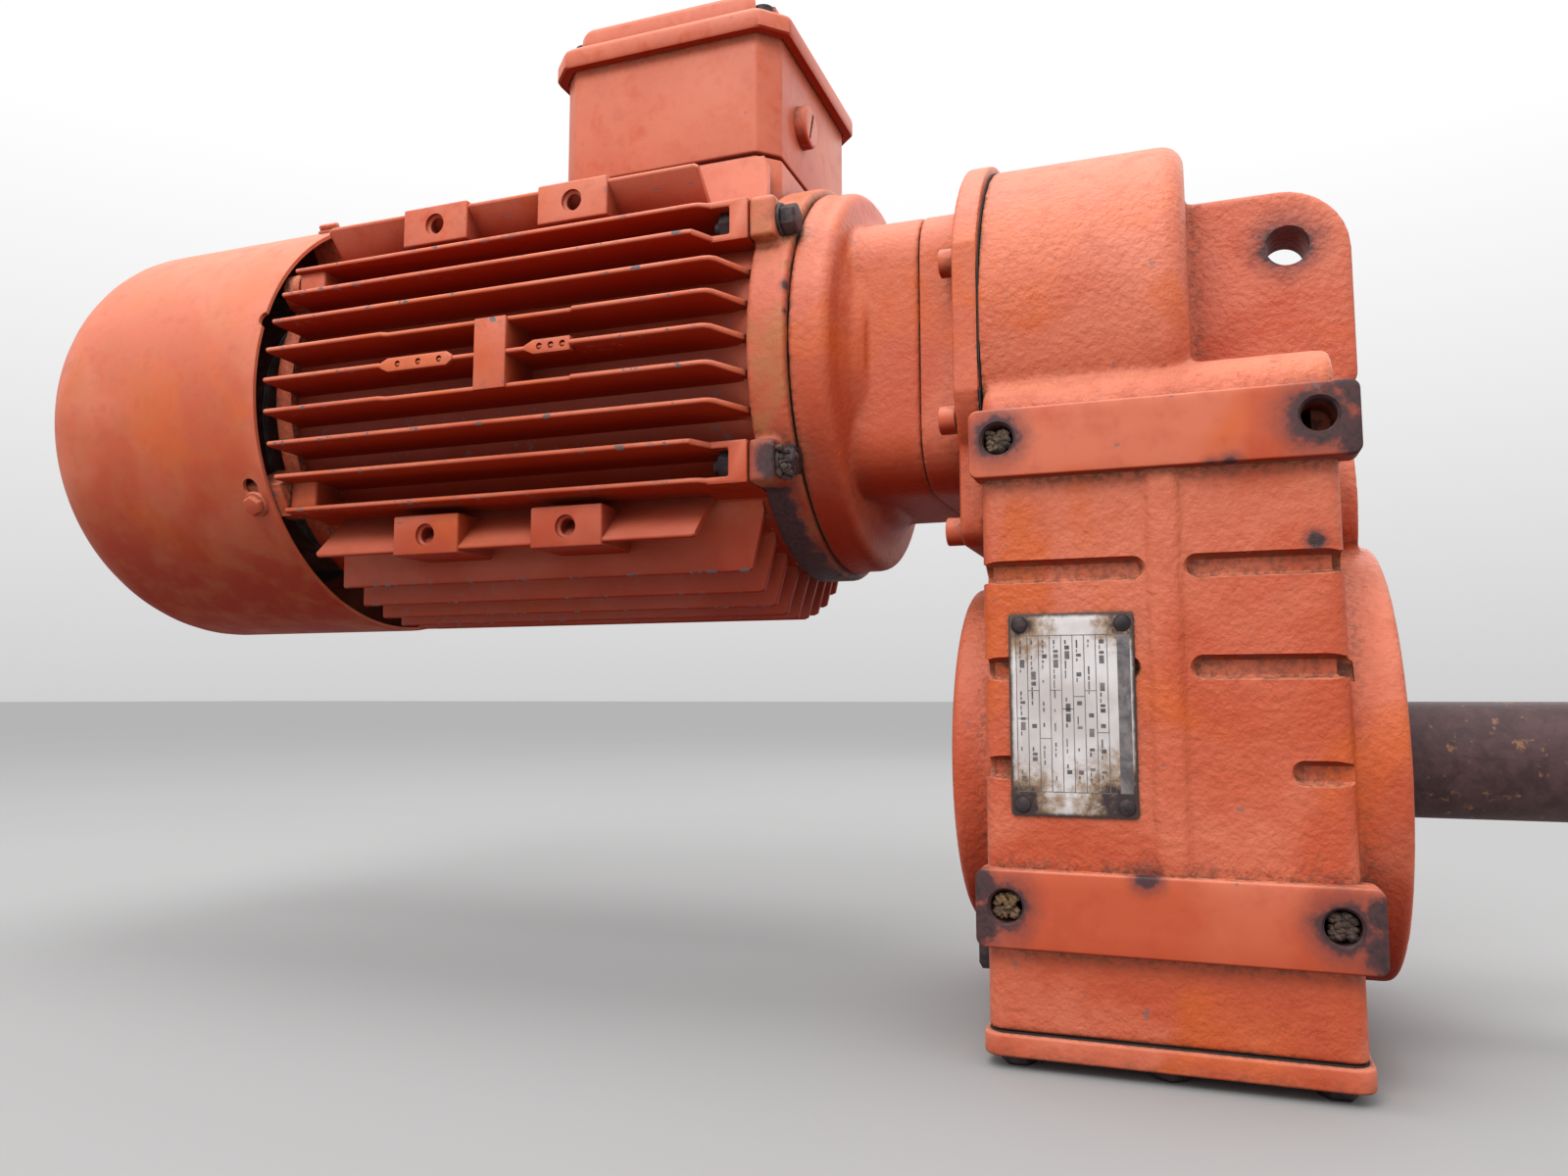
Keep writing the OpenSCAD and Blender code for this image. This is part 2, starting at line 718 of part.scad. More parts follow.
module brake_magnet() {
  color("#6a6e74") translate([0, 0, axis_1]) difference() {
    rod(magnet_x0, magnet_x1, 66);
    rod(magnet_x0 - 1, magnet_x1 + 1, 16);
    tube(magnet_x1 - 24, magnet_x1 + 1, 50, 38);
    for (i = [0 : 5]) rotate([i * 60 + 30, 0, 0]) translate([0, 0, 29]) rod(magnet_x1 - 18, magnet_x1 + 1, 5);
    for (i = [0 : 2]) rotate([i * 120, 0, 0]) translate([0, 0, 56]) rod(magnet_x0 - 1, magnet_x1 + 1, 3.2);
  }
  color("#a8662c") translate([0, 0, axis_1]) tube(magnet_x1 - 23.8, magnet_x1 - 1, 49.8, 38.2);
}

module brake_springs() {
  color(dark_steel) translate([0, 0, axis_1]) for (i = [0 : 5]) rotate([i * 60 + 30, 0, 0]) {
    translate([0, 0, 29]) tube(magnet_x1 - 17.9, magnet_x1 - 0.02, 4.5, 3.2);
  }
}

module brake_screws() {
  color(dark_steel) translate([0, 0, axis_1]) for (i = [0 : 2]) rotate([i * 120, 0, 0]) translate([0, 0, 56]) {
    rod(magnet_x0 - 6, magnet_x0 - 0.02, 5);
    rod(magnet_x0 - 1, rear_x0 + 5, 2.95);
    tube(magnet_x1 + 0.02, friction_x0 - 0.02, 5, 2.95);
  }
}

// ---- Fan and its cover ----

fan_x0 = -522;
fan_x1 = -498;

module fan() {
  color("#26262a") translate([0, 0, axis_1]) difference() {
    union() {
      rod(fan_x0, fan_x1, 18);
      rod(fan_x1 - 3, fan_x1, 76);
      for (i = [0 : 8]) rotate([i * 40, 0, 0]) block([fan_x0 + 2, -1.5, 12], [fan_x1, 1.5, 84]);
    }
    rod(fan_x0 - 1, fan_x1 + 1, 10 + fit);
  }
}

// Radius of the cover's dome, a quarter ellipse that ends on a small flat
dome_flat_r = 30;
function dome(a, inset) = [
  dome_flat_r + (cowl_r - inset - dome_flat_r) * cos(a),
  dome_x1 - (dome_x1 - cowl_x0 - inset) * sin(a)
];

module cowl_profile(inset) {
  polygon(concat([[0, cowl_x1 + inset], [cowl_r - inset, cowl_x1 + inset]],
    [for (a = [0 : 9 : 90]) dome(a, inset)], [[0, cowl_x0 + inset]]));
}

module fan_cover() {
  color(cast_paint) translate([0, 0, axis_1]) difference() {
    turned() difference() {
      cowl_profile(0);
      union() {
        cowl_profile(cowl_t);
        translate([0, cowl_x1 - 10]) square([cowl_r - cowl_t, 20]);
      }
    }
    // Air holes of the grille
    rod(cowl_x0 - 1, cowl_x0 + 3, 4);
    for (ring = [[12, 8], [20, 14], [28, 20], [37, 26], [46, 32]], i = [0 : ring[1] - 1]) {
      rotate([i * 360 / ring[1], 0, 0]) translate([0, 0, ring[0]]) rod(cowl_x0 - 1, cowl_x0 + 12, 2.6);
    }
    // Notches over the cover's screws
    for (a = cowl_screw_angles) rotate([a, 0, 0]) translate([rear_x0 - 5, -cowl_r - 2, 0]) rotate([-90, 0, 0]) {
      cylinder(h = 8, r = 2.8);
    }
  }
}

module fan_cover_screws() {
  color(dark_steel) translate([0, 0, axis_1]) for (a = cowl_screw_angles) rotate([a, 0, 0]) {
    translate([rear_x0 - 5, -cowl_r - 3.6, 0]) rotate([-90, 0, 0]) {
      cylinder(h = 3.5, d = 8 / cos(30), $fn = 6);
      cylinder(h = 9.8, r = 2.45);
    }
  }
}

// ---- Terminal box ----

lid_over = 4.7;

module box_corners(z, h, r) {
  for (x = [-1, 1], y = [-1, 1]) translate([box_x + x * (box_len / 2 - 8), y * (box_half - 8), z]) {
    cylinder(h = h, r = r);
  }
}

module terminal_box() {
  color(cast_paint) difference() {
    union() {
      difference() {
        translate([box_x, 0, box_z0]) linear_extrude(box_h) cut_rect(box_len, 2 * box_half, 8);
        translate([box_x, 0, box_z0 + 4]) linear_extrude(box_h) cut_rect(box_len - 8, 2 * box_half - 8, 7);
      }
      box_corners(box_z0 + 3, box_h - 3, 5.5);
    }
    box_corners(box_z1 - 14, 20, 2.5);
    translate([box_x, 0, box_z0 - 1]) cylinder(h = 8, r = 16);
    for (p = [-30, 30], q = [-30, 30]) translate([box_x + p, q, box_z0 - 1]) cylinder(h = 8, r = 2.7);
    translate([0, plug_y, plug_z]) rod(box_x + box_len / 2 - 6, box_x + box_len / 2 + 1, 7);
    translate([0, -plug_y, plug_z]) rod(box_x - box_len / 2 - 1, box_x - box_len / 2 + 6, 7);
  }
}

module terminal_box_gasket() {
  color("#222020") difference() {
    translate([box_x, 0, box_z1 + 0.02]) linear_extrude(0.96) cut_rect(box_len - 1, 2 * box_half - 1, 8);
    translate([box_x, 0, box_z1 - 1]) linear_extrude(3) difference() {
      cut_rect(box_len - 8, 2 * box_half - 8, 7);
      for (x = [-1, 1], y = [-1, 1]) translate([x * (box_len / 2 - 8), y * (box_half - 8)]) circle(r = 5.5);
    }
    box_corners(box_z1 - 1, 4, 2.7);
  }
}

module terminal_box_lid() {
  color(cast_paint) difference() {
    union() {
      translate([box_x, 0, box_z1 - 2]) linear_extrude(9) {
        cut_rect(box_len + 2 * lid_over, 2 * (box_half + lid_over), 10);
      }
      translate([box_x, 0, box_z1 + 6]) linear_extrude(11) {
        cut_rect(box_len + 2 * lid_over - 16, 2 * (box_half + lid_over) - 8, 9);
      }
      box_corners(box_z1 + 6, 3, 5.6);
    }
    translate([box_x, 0, box_z1 - 3]) linear_extrude(4) cut_rect(box_len + 1, 2 * box_half + 1, 8.2);
    translate([box_x, 0, box_z1]) linear_extrude(13) rounded_rect(box_len - 34, 2 * box_half - 10, 6);
    translate([box_x, 0, box_z1]) linear_extrude(13) rounded_rect(box_len - 10, 2 * box_half - 34, 6);
    box_corners(box_z1 - 3, 30, 2.8);
    box_corners(box_z1 + 9, 12, 5.4);
  }
}

module lid_screws() {
  color(dark_steel) difference() {
    union() {
      box_corners(box_z1 + 9.02, 3.6, 4.4);
      box_corners(box_z1 - 12, 22, 2.45);
    }
    for (x = [-1, 1], y = [-1, 1]) translate([box_x + x * (box_len / 2 - 8), y * (box_half - 8), box_z1 + 12]) {
      cube([8, 1.4, 2], center = true);
      cube([1.4, 8, 2], center = true);
    }
  }
}

stud_places = [for (x = [-16, 0, 16], y = [-10, 10]) [x, y]];

module terminal_board() {
  color("#5a2a20") difference() {
    translate([box_x, 0, box_z0 + 4.02]) linear_extrude(10) difference() {
      rounded_rect(58, 44, 3);
      circle(r = 4);
    }
    for (p = stud_places) translate([box_x + p[0], p[1], box_z0 + 6]) cylinder(h = 20, r = 2.5);
  }
}

module terminal_studs() {
  color("#b58b3c") {
    for (p = stud_places) translate([box_x + p[0], p[1], 0]) {
      translate([0, 0, box_z0 + 7]) cylinder(h = 22, r = 2.48);
      translate([0, 0, box_z0 + 15.8]) cylinder(h = 4, d = 8 / cos(30), $fn = 6);
    }
    for (x = [-16, 0, 16]) translate([box_x + x, 0, box_z0 + 15]) cube([8, 28, 1.7], center = true);
  }
}

// A blanking plug at the end of the box, facing +X
module blanking_plug() {
  rod(box_len / 2 - 5, box_len / 2 + 0.5, 6.9);
  difference() {
    rod(box_len / 2 + 0.02, box_len / 2 + 5, plug_r);
    translate([box_len / 2 + 4.5, -plug_r, -1]) cube([2, 2 * plug_r, 2]);
  }
}

module conduit_plugs() {
  color(cast_paint) {
    translate([box_x, plug_y, plug_z]) blanking_plug();
    translate([box_x, -plug_y, plug_z]) rotate([0, 0, 180]) blanking_plug();
  }
}

// ---- Nameplate ----

plate_x = [-115.4, -76.6];
plate_z = [-15.9, 48.2];
plate_t = 0.8;
rivet_in = 3.5;

module at_rivets() {
  for (x = [plate_x[0] + rivet_in, plate_x[1] - rivet_in], z = [plate_z[0] + rivet_in, plate_z[1] - rivet_in]) {
    translate([x, -body_half, z]) rotate([90, 0, 0]) children();
  }
}

module nameplate() {
  color("#c9c6c0") difference() {
    block([plate_x[0], -body_half - plate_t, plate_z[0]], [plate_x[1], -body_half - 0.02, plate_z[1]]);
    at_rivets() translate([0, 0, -1]) cylinder(h = 3, r = 1.6);
  }
}

module nameplate_rivets() {
  color(dark_steel) at_rivets() {
    translate([0, 0, -4]) cylinder(h = 5.5, r = 1.55);
    translate([0, 0, plate_t + 0.02]) cylinder(h = 1.2, r1 = 2.8, r2 = 1.9);
  }
}

// ---- Rotor ----

module rotor_shaft() {
  color(steel) translate([0, 0, axis_1]) turned() {
    translate([0, -526]) square([10, 94]);
    translate([0, -450]) square([12, 40]);
    translate([0, -418]) square([15, 16]);
    translate([0, -402]) square([17, 199]);
    translate([0, core_x0 - 3]) square([20, core_x1 - core_x0 + 6]);
    translate([0, -203]) square([15, 76]);
    translate([0, -127]) square([10, 19]);
    translate([0, -108]) square([7, 23]);
  }
}

module rotor_core() {
  color("#7d8188") translate([0, 0, axis_1]) {
    tube(core_x0, core_x1, 46.5, 20 + fit);
    tube(core_x0 - 12, core_x0 - 0.02, 44, 30);
    tube(core_x1 + 0.02, core_x1 + 12, 44, 30);
  }
}

module input_pinion() {
  color(steel) translate([0, 0, axis_1]) difference() {
    gear_teeth(mod_1, z_pinion_1, -107.9, -86, -90);
    rod(-109, -85, 7 + fit);
  }
}

module rotor_bearing_inner_rings() {
  color(steel) translate([0, 0, axis_1]) inner_rings(rot_brg, rot_brg_x);
}

// ---- Layshaft ----

module layshaft() {
  color(steel) translate([0, 0, axis_2]) difference() {
    union() {
      rod(-122.4, -24.1, 10);
      rod(-107.9, -38.5, 12.5);
      rod(-86.9, -82, 16);
      gear_teeth(mod_2, z_pinion_2, -81, -41, -90);
    }
    block([-105, -4, 8.5], [-89, 4, 13]);
  }
}

module layshaft_key() {
  color(steel) translate([0, 0, axis_2]) block([-104.9, -3.95, 8.55], [-89.1, 3.95, 15.4]);
}

module layshaft_gear() {
  color(steel) translate([0, 0, axis_2]) difference() {
    gear_teeth(mod_1, z_wheel_1, -107, -87.02, 90 + 180 / z_wheel_1);
    rod(-108, -86, 12.5 + fit);
    block([-108, -4, 8], [-86, 4, 15.5]);
    tube(-108, -102, 43, 22);
    tube(-92, -86, 43, 22);
  }
}

module layshaft_bearing_inner_rings() {
  color(steel) translate([0, 0, axis_2]) inner_rings(lay_brg, lay_brg_x);
}

// ---- Output ----

hollow_x0 = boss_x0 - 3;
key_w = 12;

module hollow_shaft() {
  color(dark_steel) difference() {
    union() {
      rod(hollow_x0, 3, hollow_d / 2);
      rod(-111.3, -27.2, 30);
    }
    rod(hollow_x0 - 1, 4, seat_d / 2 + fit);
    block([hollow_x0 - 1, -key_w / 2, 0], [4, key_w / 2, seat_d / 2 + 3.4]);
    block([-76, -9, -31], [-46, 9, -26.5]);
  }
}

module output_gear() {
  color(steel) difference() {
    gear_teeth(mod_2, z_wheel_2, -77, -45, 90 + 180 / z_wheel_2);
    rod(-78, -44, 30 + fit);
    block([-78, -9, -34], [-44, 9, -20]);
    tube(-78, -69, 60, 40);
    tube(-53, -44, 60, 40);
  }
}

module output_gear_key() {
  color(steel) block([-75.9, -8.95, -33.9], [-46.1, 8.95, -26.6]);
}

module output_bearing_inner_rings() {
  color(steel) inner_rings(out_brg, out_brg_x);
}

module output_shaft() {
  color("#4d383c") difference() {
    turned() {
      translate([0, -128]) square([seat_d / 2, 140]);
      translate([0, 5]) square([shaft_d / 2, shaft_out - 7]);
      translate([0, shaft_out - 2]) polygon([[0, -1], [shaft_d / 2, 0], [shaft_d / 2 - 2, 2], [0, 2]]);
    }
    block([-112, -key_w / 2, seat_d / 2 - 5], [-22, key_w / 2, seat_d / 2 + 1]);
    block([50, shaft_d / 2 - 5, -key_w / 2], [80, shaft_d / 2 + 1, key_w / 2]);
    rod(-129, -100, 5);
  }
}

module output_shaft_key() {
  color("#5a4a48") block([-111.9, -key_w / 2 + 0.03, seat_d / 2 - 4.98], [-22.1, key_w / 2 - 0.03, seat_d / 2 + 3.2]);
}

module shaft_retainer() {
  color(dark_steel) difference() {
    union() {
      rod(-134, -128.02, seat_d / 2 - 0.1);
      rod(-140, -133, 8);
      rod(-129, -101, 4.95);
    }
    hex(-141, -135, 8);
  }
}

// ---- Balls ----

module rotor_bearing_balls() {
  color("#d5d8dc") translate([0, 0, axis_1]) balls(rot_brg, rot_brg_x);
}

module layshaft_bearing_balls() {
  color("#d5d8dc") translate([0, 0, axis_2]) balls(lay_brg, lay_brg_x);
}

module output_bearing_balls() {
  color("#d5d8dc") balls(out_brg, out_brg_x);
}

gear_housing();
bottom_cover();
bottom_cover_gasket();
bottom_cover_screws();
input_cover();
input_cover_gasket();
input_cover_screws();
oil_plugs();
output_seals();
input_seal();
output_bearing_outer_rings();
layshaft_bearing_outer_rings();
rotor_bearing_outer_rings();
adapter_flange();
adapter_screws();
drive_end_shield();
shield_bolts();
shield_nuts();
motor_frame();
stator_core();
stator_windings();
rear_end_shield();
brake_friction_plate();
brake_magnet();
brake_springs();
brake_screws();
fan_cover();
fan_cover_screws();
terminal_box();
terminal_box_gasket();
terminal_box_lid();
lid_screws();
terminal_board();
terminal_studs();
conduit_plugs();
nameplate();
nameplate_rivets();
rotor_shaft();
rotor_core();
input_pinion();
rotor_bearing_inner_rings();
brake_hub();
brake_disc();
fan();
layshaft();
layshaft_gear();
layshaft_key();
layshaft_bearing_inner_rings();
hollow_shaft();
output_gear();
output_gear_key();
output_bearing_inner_rings();
output_shaft();
output_shaft_key();
shaft_retainer();
brake_armature();
rotor_bearing_balls();
layshaft_bearing_balls();
output_bearing_balls();
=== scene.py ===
"""Gearmotor: a finned brake motor on a cast parallel-shaft gear unit, in sun-faded orange paint."""

import json
import math
import random

import bmesh
import bpy
from mathutils import Matrix, Vector


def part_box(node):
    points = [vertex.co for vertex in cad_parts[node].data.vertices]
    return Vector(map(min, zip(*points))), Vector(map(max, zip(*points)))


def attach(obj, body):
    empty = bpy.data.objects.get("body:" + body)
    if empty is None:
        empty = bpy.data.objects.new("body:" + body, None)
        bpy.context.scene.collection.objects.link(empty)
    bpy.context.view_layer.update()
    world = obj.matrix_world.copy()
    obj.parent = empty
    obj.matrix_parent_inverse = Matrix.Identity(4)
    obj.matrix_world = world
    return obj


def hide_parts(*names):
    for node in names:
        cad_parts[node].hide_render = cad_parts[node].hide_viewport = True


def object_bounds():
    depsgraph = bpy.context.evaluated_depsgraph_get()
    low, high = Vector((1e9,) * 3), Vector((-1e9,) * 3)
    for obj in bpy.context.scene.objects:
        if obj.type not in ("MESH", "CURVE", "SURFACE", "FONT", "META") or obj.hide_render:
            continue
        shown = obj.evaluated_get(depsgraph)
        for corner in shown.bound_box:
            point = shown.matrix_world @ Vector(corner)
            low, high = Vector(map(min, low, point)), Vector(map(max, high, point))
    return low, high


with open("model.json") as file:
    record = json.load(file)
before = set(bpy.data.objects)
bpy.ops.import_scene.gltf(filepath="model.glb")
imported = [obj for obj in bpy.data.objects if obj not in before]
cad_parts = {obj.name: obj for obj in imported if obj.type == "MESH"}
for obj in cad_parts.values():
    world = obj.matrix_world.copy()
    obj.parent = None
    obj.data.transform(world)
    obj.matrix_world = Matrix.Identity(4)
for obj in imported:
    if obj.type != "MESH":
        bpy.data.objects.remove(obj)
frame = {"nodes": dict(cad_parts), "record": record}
cad_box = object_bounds()
cad = frame["nodes"]
SLOTS = {entry["node"]: entry["material_slot"] for entry in frame["record"]["subparts"]}
MM = 0.001


# ---------------- places, in millimetres, read from the CAD boxes or repeated from part.scad


def lo_hi(node):
    """A CAD node's lowest and highest corners in millimetres."""
    low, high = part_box(node)
    return [c / MM for c in low], [c / MM for c in high]


MOTOR_Z = (lo_hi("rotor_shaft")[0][2] + lo_hi("rotor_shaft")[1][2]) / 2
LAY_Z = (lo_hi("layshaft")[0][2] + lo_hi("layshaft")[1][2]) / 2
AXIS_1, AXIS_2 = (0, MOTOR_Z), (0, LAY_Z)
(HOUSE_X0, _, HOUSE_Z0), (_, STRAP_Y, CROWN_Z) = lo_hi("gear_housing")
(GASKET_X, _, _), (BODY_X0, _, _) = lo_hi("input_cover_gasket")
BODY_X1, BODY_Y, _ = lo_hi("bottom_cover_gasket")[1]
CROWN_R = CROWN_Z - MOTOR_Z
COVER_X0 = GASKET_X - 9
NECK_X0 = lo_hi("input_cover")[0][0]
(DISC_X0, _, DISC_Z0), (NECK_X1, _, DISC_Z1) = lo_hi("adapter_flange")
DISC_R = (DISC_Z1 - DISC_Z0) / 2
(FRAME_X0, _, _), (FRAME_X1, FIN_R, _) = lo_hi("motor_frame")
(COWL_X0, _, _), (COWL_X1, _, COWL_Z) = lo_hi("fan_cover")
COWL_R = COWL_Z - MOTOR_Z
(BOX_X0, _, BOX_Z0), (BOX_X1, BOX_Y, BOX_Z1) = lo_hi("terminal_box")
BOX_X = (BOX_X0 + BOX_X1) / 2
(LID_X0, _, LID_Z0), (LID_X1, LID_Y, LID_Z1) = lo_hi("terminal_box_lid")
(PLATE_X0, PLATE_Y, PLATE_Z0), (PLATE_X1, _, PLATE_Z1) = lo_hi("nameplate")
(_, _, COVER_Z0), (_, _, COVER_Z1) = lo_hi("bottom_cover")
STRAP_X = (-126.8, -10.5)
STRAP_Z = ((92.7, 115.4), (-56.7, -32.4))
STRAP_HOLES = [(x, z) for z in (105.4, -43.9) for x in (-117.3, -21.8)]
EYE = (-22.2, 186.2)
EYE_R = 7.5
LUG_Y = 12
SHOULDER_Z = 131
OUT_BOSS_R, REAR_BOSS_R = 74.7, 64.3
NECK_HALF, NECK_CORNER = 54, 22
PAD_X, PAD_DZ, PAD_Y = (-349, -284), 65, 77
CORNER_Y, CORNER_DZ = 72, 45.5
BOLT_SEAT = -197.6
SHIELD_R, TUBE_R, BORE_R = 81.5, 78, 72.5
FIN_PITCH, RIB_TURN, RIB_R = 13, 43.3, 104.3
COWL_SCREW_X, COWL_SCREW_TURNS = -429, (30, 120, 210, 300)
PLUG_Y, PLUG_Z = -17.7, 262
M6_HOLE, M6_SHANK = 3.3, 2.95
RIM_SCREWS = [(x, y) for x in (-116, -70, -24) for y in (-72, 72)]
COVER_SCREWS = [(s * y, z) for s in (-1, 1) for y, z in ((63, 176), (66, 118), (56, 80))]
ADAPTER_SCREWS = [(y, MOTOR_Z + dz) for y in (-42, 42) for dz in (-42, 42)]
SHIELD_BOLTS = [(y, MOTOR_Z + dz) for y in (-CORNER_Y, CORNER_Y) for dz in (-CORNER_DZ, CORNER_DZ)]
LID_SCREWS = [(x, y) for x in (BOX_X0 + 8, BOX_X1 - 8) for y in (-BOX_Y + 8, BOX_Y - 8)]
RIVETS = [(x, z) for x in (PLATE_X0 + 3.5, PLATE_X1 - 3.5) for z in (PLATE_Z0 + 3.5, PLATE_Z1 - 3.5)]


# ---------------- shapes, in millimetres until they are finished


def turns(step, count):
    """Angles from 0 on in radians, step degrees apart."""
    return [math.radians(step * i) for i in range(count)]


def rounded_corner(centre, radius, start, stop, steps=6):
    """Points of an arc in a plane, from start to stop degrees."""
    angles = [math.radians(start + (stop - start) * i / steps) for i in range(steps + 1)]
    return [(centre[0] + radius * math.cos(a), centre[1] + radius * math.sin(a)) for a in angles]


def rounded_rect(x0, x1, y0, y1, r, steps=6):
    """A rectangle with its corners rounded to radius r."""
    centres = (x1 - r, y1 - r), (x0 + r, y1 - r), (x0 + r, y0 + r), (x1 - r, y0 + r)
    return [p for i, centre in enumerate(centres) for p in rounded_corner(centre, r, 90 * i, 90 * i + 90, steps)]


def cut_rect(x0, x1, y0, y1, c):
    """A rectangle with its corners cut off at 45 degrees."""
    return [(x0 + c, y0), (x1 - c, y0), (x1, y0 + c), (x1, y1 - c),
            (x1 - c, y1), (x0 + c, y1), (x0, y1 - c), (x0, y0 + c)]


def place(point, depth, axis):
    """A point of a plane drawing at a depth along axis: (y, z) for axis x, (x, z) for y and (x, y) for z."""
    a, b = point
    return {"x": (depth, a, b), "y": (a, depth, b), "z": (a, b, depth)}[axis]


def stack(rings):
    """A closed solid through rings of points with the same count."""
    bm = bmesh.new()
    made = [[bm.verts.new(p) for p in ring] for ring in rings]
    count = len(made[0])
    for low, high in zip(made, made[1:]):
        for i in range(count):
            j = (i + 1) % count
            bm.faces.new((low[i], low[j], high[j], high[i]))
    bm.faces.new(made[0][::-1])
    bm.faces.new(made[-1])
    bmesh.ops.recalc_face_normals(bm, faces=bm.faces)
    return bm


def prism(outline, axis, start, stop):
    """An outline drawn out along axis."""
    return stack([[place(p, d, axis) for p in outline] for d in (start, stop)])


def box(low, high):
    return prism([(low[0], low[1]), (high[0], low[1]), (high[0], high[1]), (low[0], high[1])], "z", low[2], high[2])


def lathe(profile, z=0, steps=96):
    """A closed (radius, x) drawing turned about the line along X at height z."""
    bm = bmesh.new()
    angles = [2 * math.pi * i / steps for i in range(steps)]
    rings = []
    for r, x in profile:
        if r < 1e-6:
            rings.append([bm.verts.new((x, 0, z))])
        else:
            rings.append([bm.verts.new((x, r * math.cos(a), z + r * math.sin(a))) for a in angles])
    for one, two in zip(rings, rings[1:] + rings[:1]):
        if len(one) == 1 and len(two) == 1:
            continue
        for i in range(steps):
            j = (i + 1) % steps
            corners = [one[0] if len(one) == 1 else one[i], *((one[j],) if len(one) > 1 else ())]
            corners += [two[j], two[i]] if len(two) > 1 else [two[0]]
            bm.faces.new(corners)
    bmesh.ops.recalc_face_normals(bm, faces=bm.faces)
    return bm


def rod(axis, centre, r, start, stop, steps=48):
    """A round bar along axis; centre is its place in the drawing plane of that axis."""
    outline = [(centre[0] + r * math.cos(2 * math.pi * i / steps), centre[1] + r * math.sin(2 * math.pi * i / steps))
               for i in range(steps)]
    return prism(outline, axis, start, stop)


def hexagon(centre, across, turn=0):
    """The corners of a hexagon whose flats are that far apart."""
    r = across / 2 / math.cos(math.pi / 6)
    angles = [math.radians(60 * i + turn) for i in range(6)]
    return [(centre[0] + r * math.cos(a), centre[1] + r * math.sin(a)) for a in angles]


def hex_head(axis, centre, across, start, stop, turn=0):
    """A hexagon head from its seat at start to its chamfered top at stop."""
    way = 1 if stop > start else -1
    chamfer = 0.22 * across * 0.35
    rings = [(hexagon(centre, across, turn), start), (hexagon(centre, across, turn), stop - way * chamfer),
             (hexagon(centre, across * 0.86, turn), stop)]
    return edge_round(stack([[place(p, d, axis) for p in outline] for outline, d in rings]), 0.25, 2)


def drilled(axis, centre, stations, steps=32):
    """A solid along axis through round sections (depth, radius), to cut a stepped or countersunk hole."""
    angles = [2 * math.pi * i / steps for i in range(steps)]
    return stack([[place((centre[0] + r * math.cos(a), centre[1] + r * math.sin(a)), d, axis) for a in angles]
                  for d, r in stations])


def about_motor(bm, degrees):
    """Turns a solid about the motor axis; at 0 degrees its -Y side faces the front, at 90 it faces down."""
    spin = Matrix.Rotation(math.radians(degrees), 4, "X")
    here = Matrix.Translation((0, 0, MOTOR_Z))
    return moved(bm, here @ spin @ here.inverted())


def edge_round(bm, width, segments=3):
    """Rounds the edges of a solid that turn by more than 28 degrees."""
    edges = [e for e in bm.edges if len(e.link_faces) == 2 and e.calc_face_angle(0) > math.radians(28)]
    bmesh.ops.bevel(bm, geom=edges, offset=width, segments=segments, profile=0.5, affect="EDGES", clamp_overlap=True)
    return bm


def moved(bm, matrix):
    """The same solid, moved by a matrix."""
    bmesh.ops.transform(bm, matrix=matrix, verts=bm.verts)
    return bm


def mirrored(bm):
    """A copy on the other side of the Y = 0 plane."""
    copy = bm.copy()
    bmesh.ops.transform(copy, matrix=Matrix.Scale(-1, 4, (0, 1, 0)), verts=copy.verts)
    bmesh.ops.reverse_faces(copy, faces=copy.faces)
    return copy


def joined(parts):
    """One bmesh of several closed solids."""
    out = bmesh.new()
    for part in parts:
        mesh = bpy.data.meshes.new("part")
        part.to_mesh(mesh)
        out.from_mesh(mesh)
        bpy.data.meshes.remove(mesh)
        part.free()
    return out


def scratch(bm, name="scratch"):
    """A linked object of a millimetre bmesh, which is freed."""
    mesh = bpy.data.meshes.new(name)
    bm.to_mesh(mesh)
    bm.free()
    ob = bpy.data.objects.new(name, mesh)
    bpy.context.scene.collection.objects.link(ob)
    return ob


def taken(ob):
    """The mesh of a scratch object, which is removed."""
    bm = bmesh.new()
    bm.from_mesh(ob.data)
    bpy.data.objects.remove(ob)
    return bm


def bake(ob):
    """Applies an object's modifiers to its mesh."""
    bpy.context.view_layer.update()
    evaluated = ob.evaluated_get(bpy.context.evaluated_depsgraph_get())
    old, ob.data = ob.data, bpy.data.meshes.new_from_object(evaluated)
    ob.modifiers.clear()
    bpy.data.meshes.remove(old)
    return ob


def combine(ob, parts, operation):
    """Changes an object by each of the solids."""
    for part in parts:
        tool = scratch(part)
        change = ob.modifiers.new("change", "BOOLEAN")
        change.operation, change.solver, change.object = operation, "MANIFOLD", tool
        bake(ob)
        bpy.data.objects.remove(tool)
    return ob


def add(ob, parts):
    return combine(ob, parts, "UNION")


def cut(ob, parts):
    return combine(ob, parts, "DIFFERENCE")


def cast(ob, voxel, passes, keep):
    """Melts a solid into a casting with softly rounded joins and edges, over about the voxel size times the square
    root of passes, and keeps that share of its triangles."""
    melt = ob.modifiers.new("melt", "REMESH")
    melt.mode, melt.voxel_size = "VOXEL", voxel
    soften = ob.modifiers.new("soften", "SMOOTH")
    soften.factor, soften.iterations = 0.5, passes
    ob.modifiers.new("thin", "DECIMATE").ratio = keep
    return bake(ob)


def finish_piece(ob, name, material, node=None, smooth_angle=40, body="gearcase"):
    """Turns a millimetre object into a finished piece with the given material. It replaces a CAD node, which it hides,
    or stands alone.
    """
    ob.name = ob.data.name = name
    ob.data.transform(Matrix.Scale(MM, 4))
    if smooth_angle:
        ob.data.shade_smooth()
        ob.data.set_sharp_from_angle(angle=math.radians(smooth_angle))
    ob.data.materials.clear()
    ob.data.materials.append(material)
    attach(ob, body)
    if node:
        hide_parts(node)


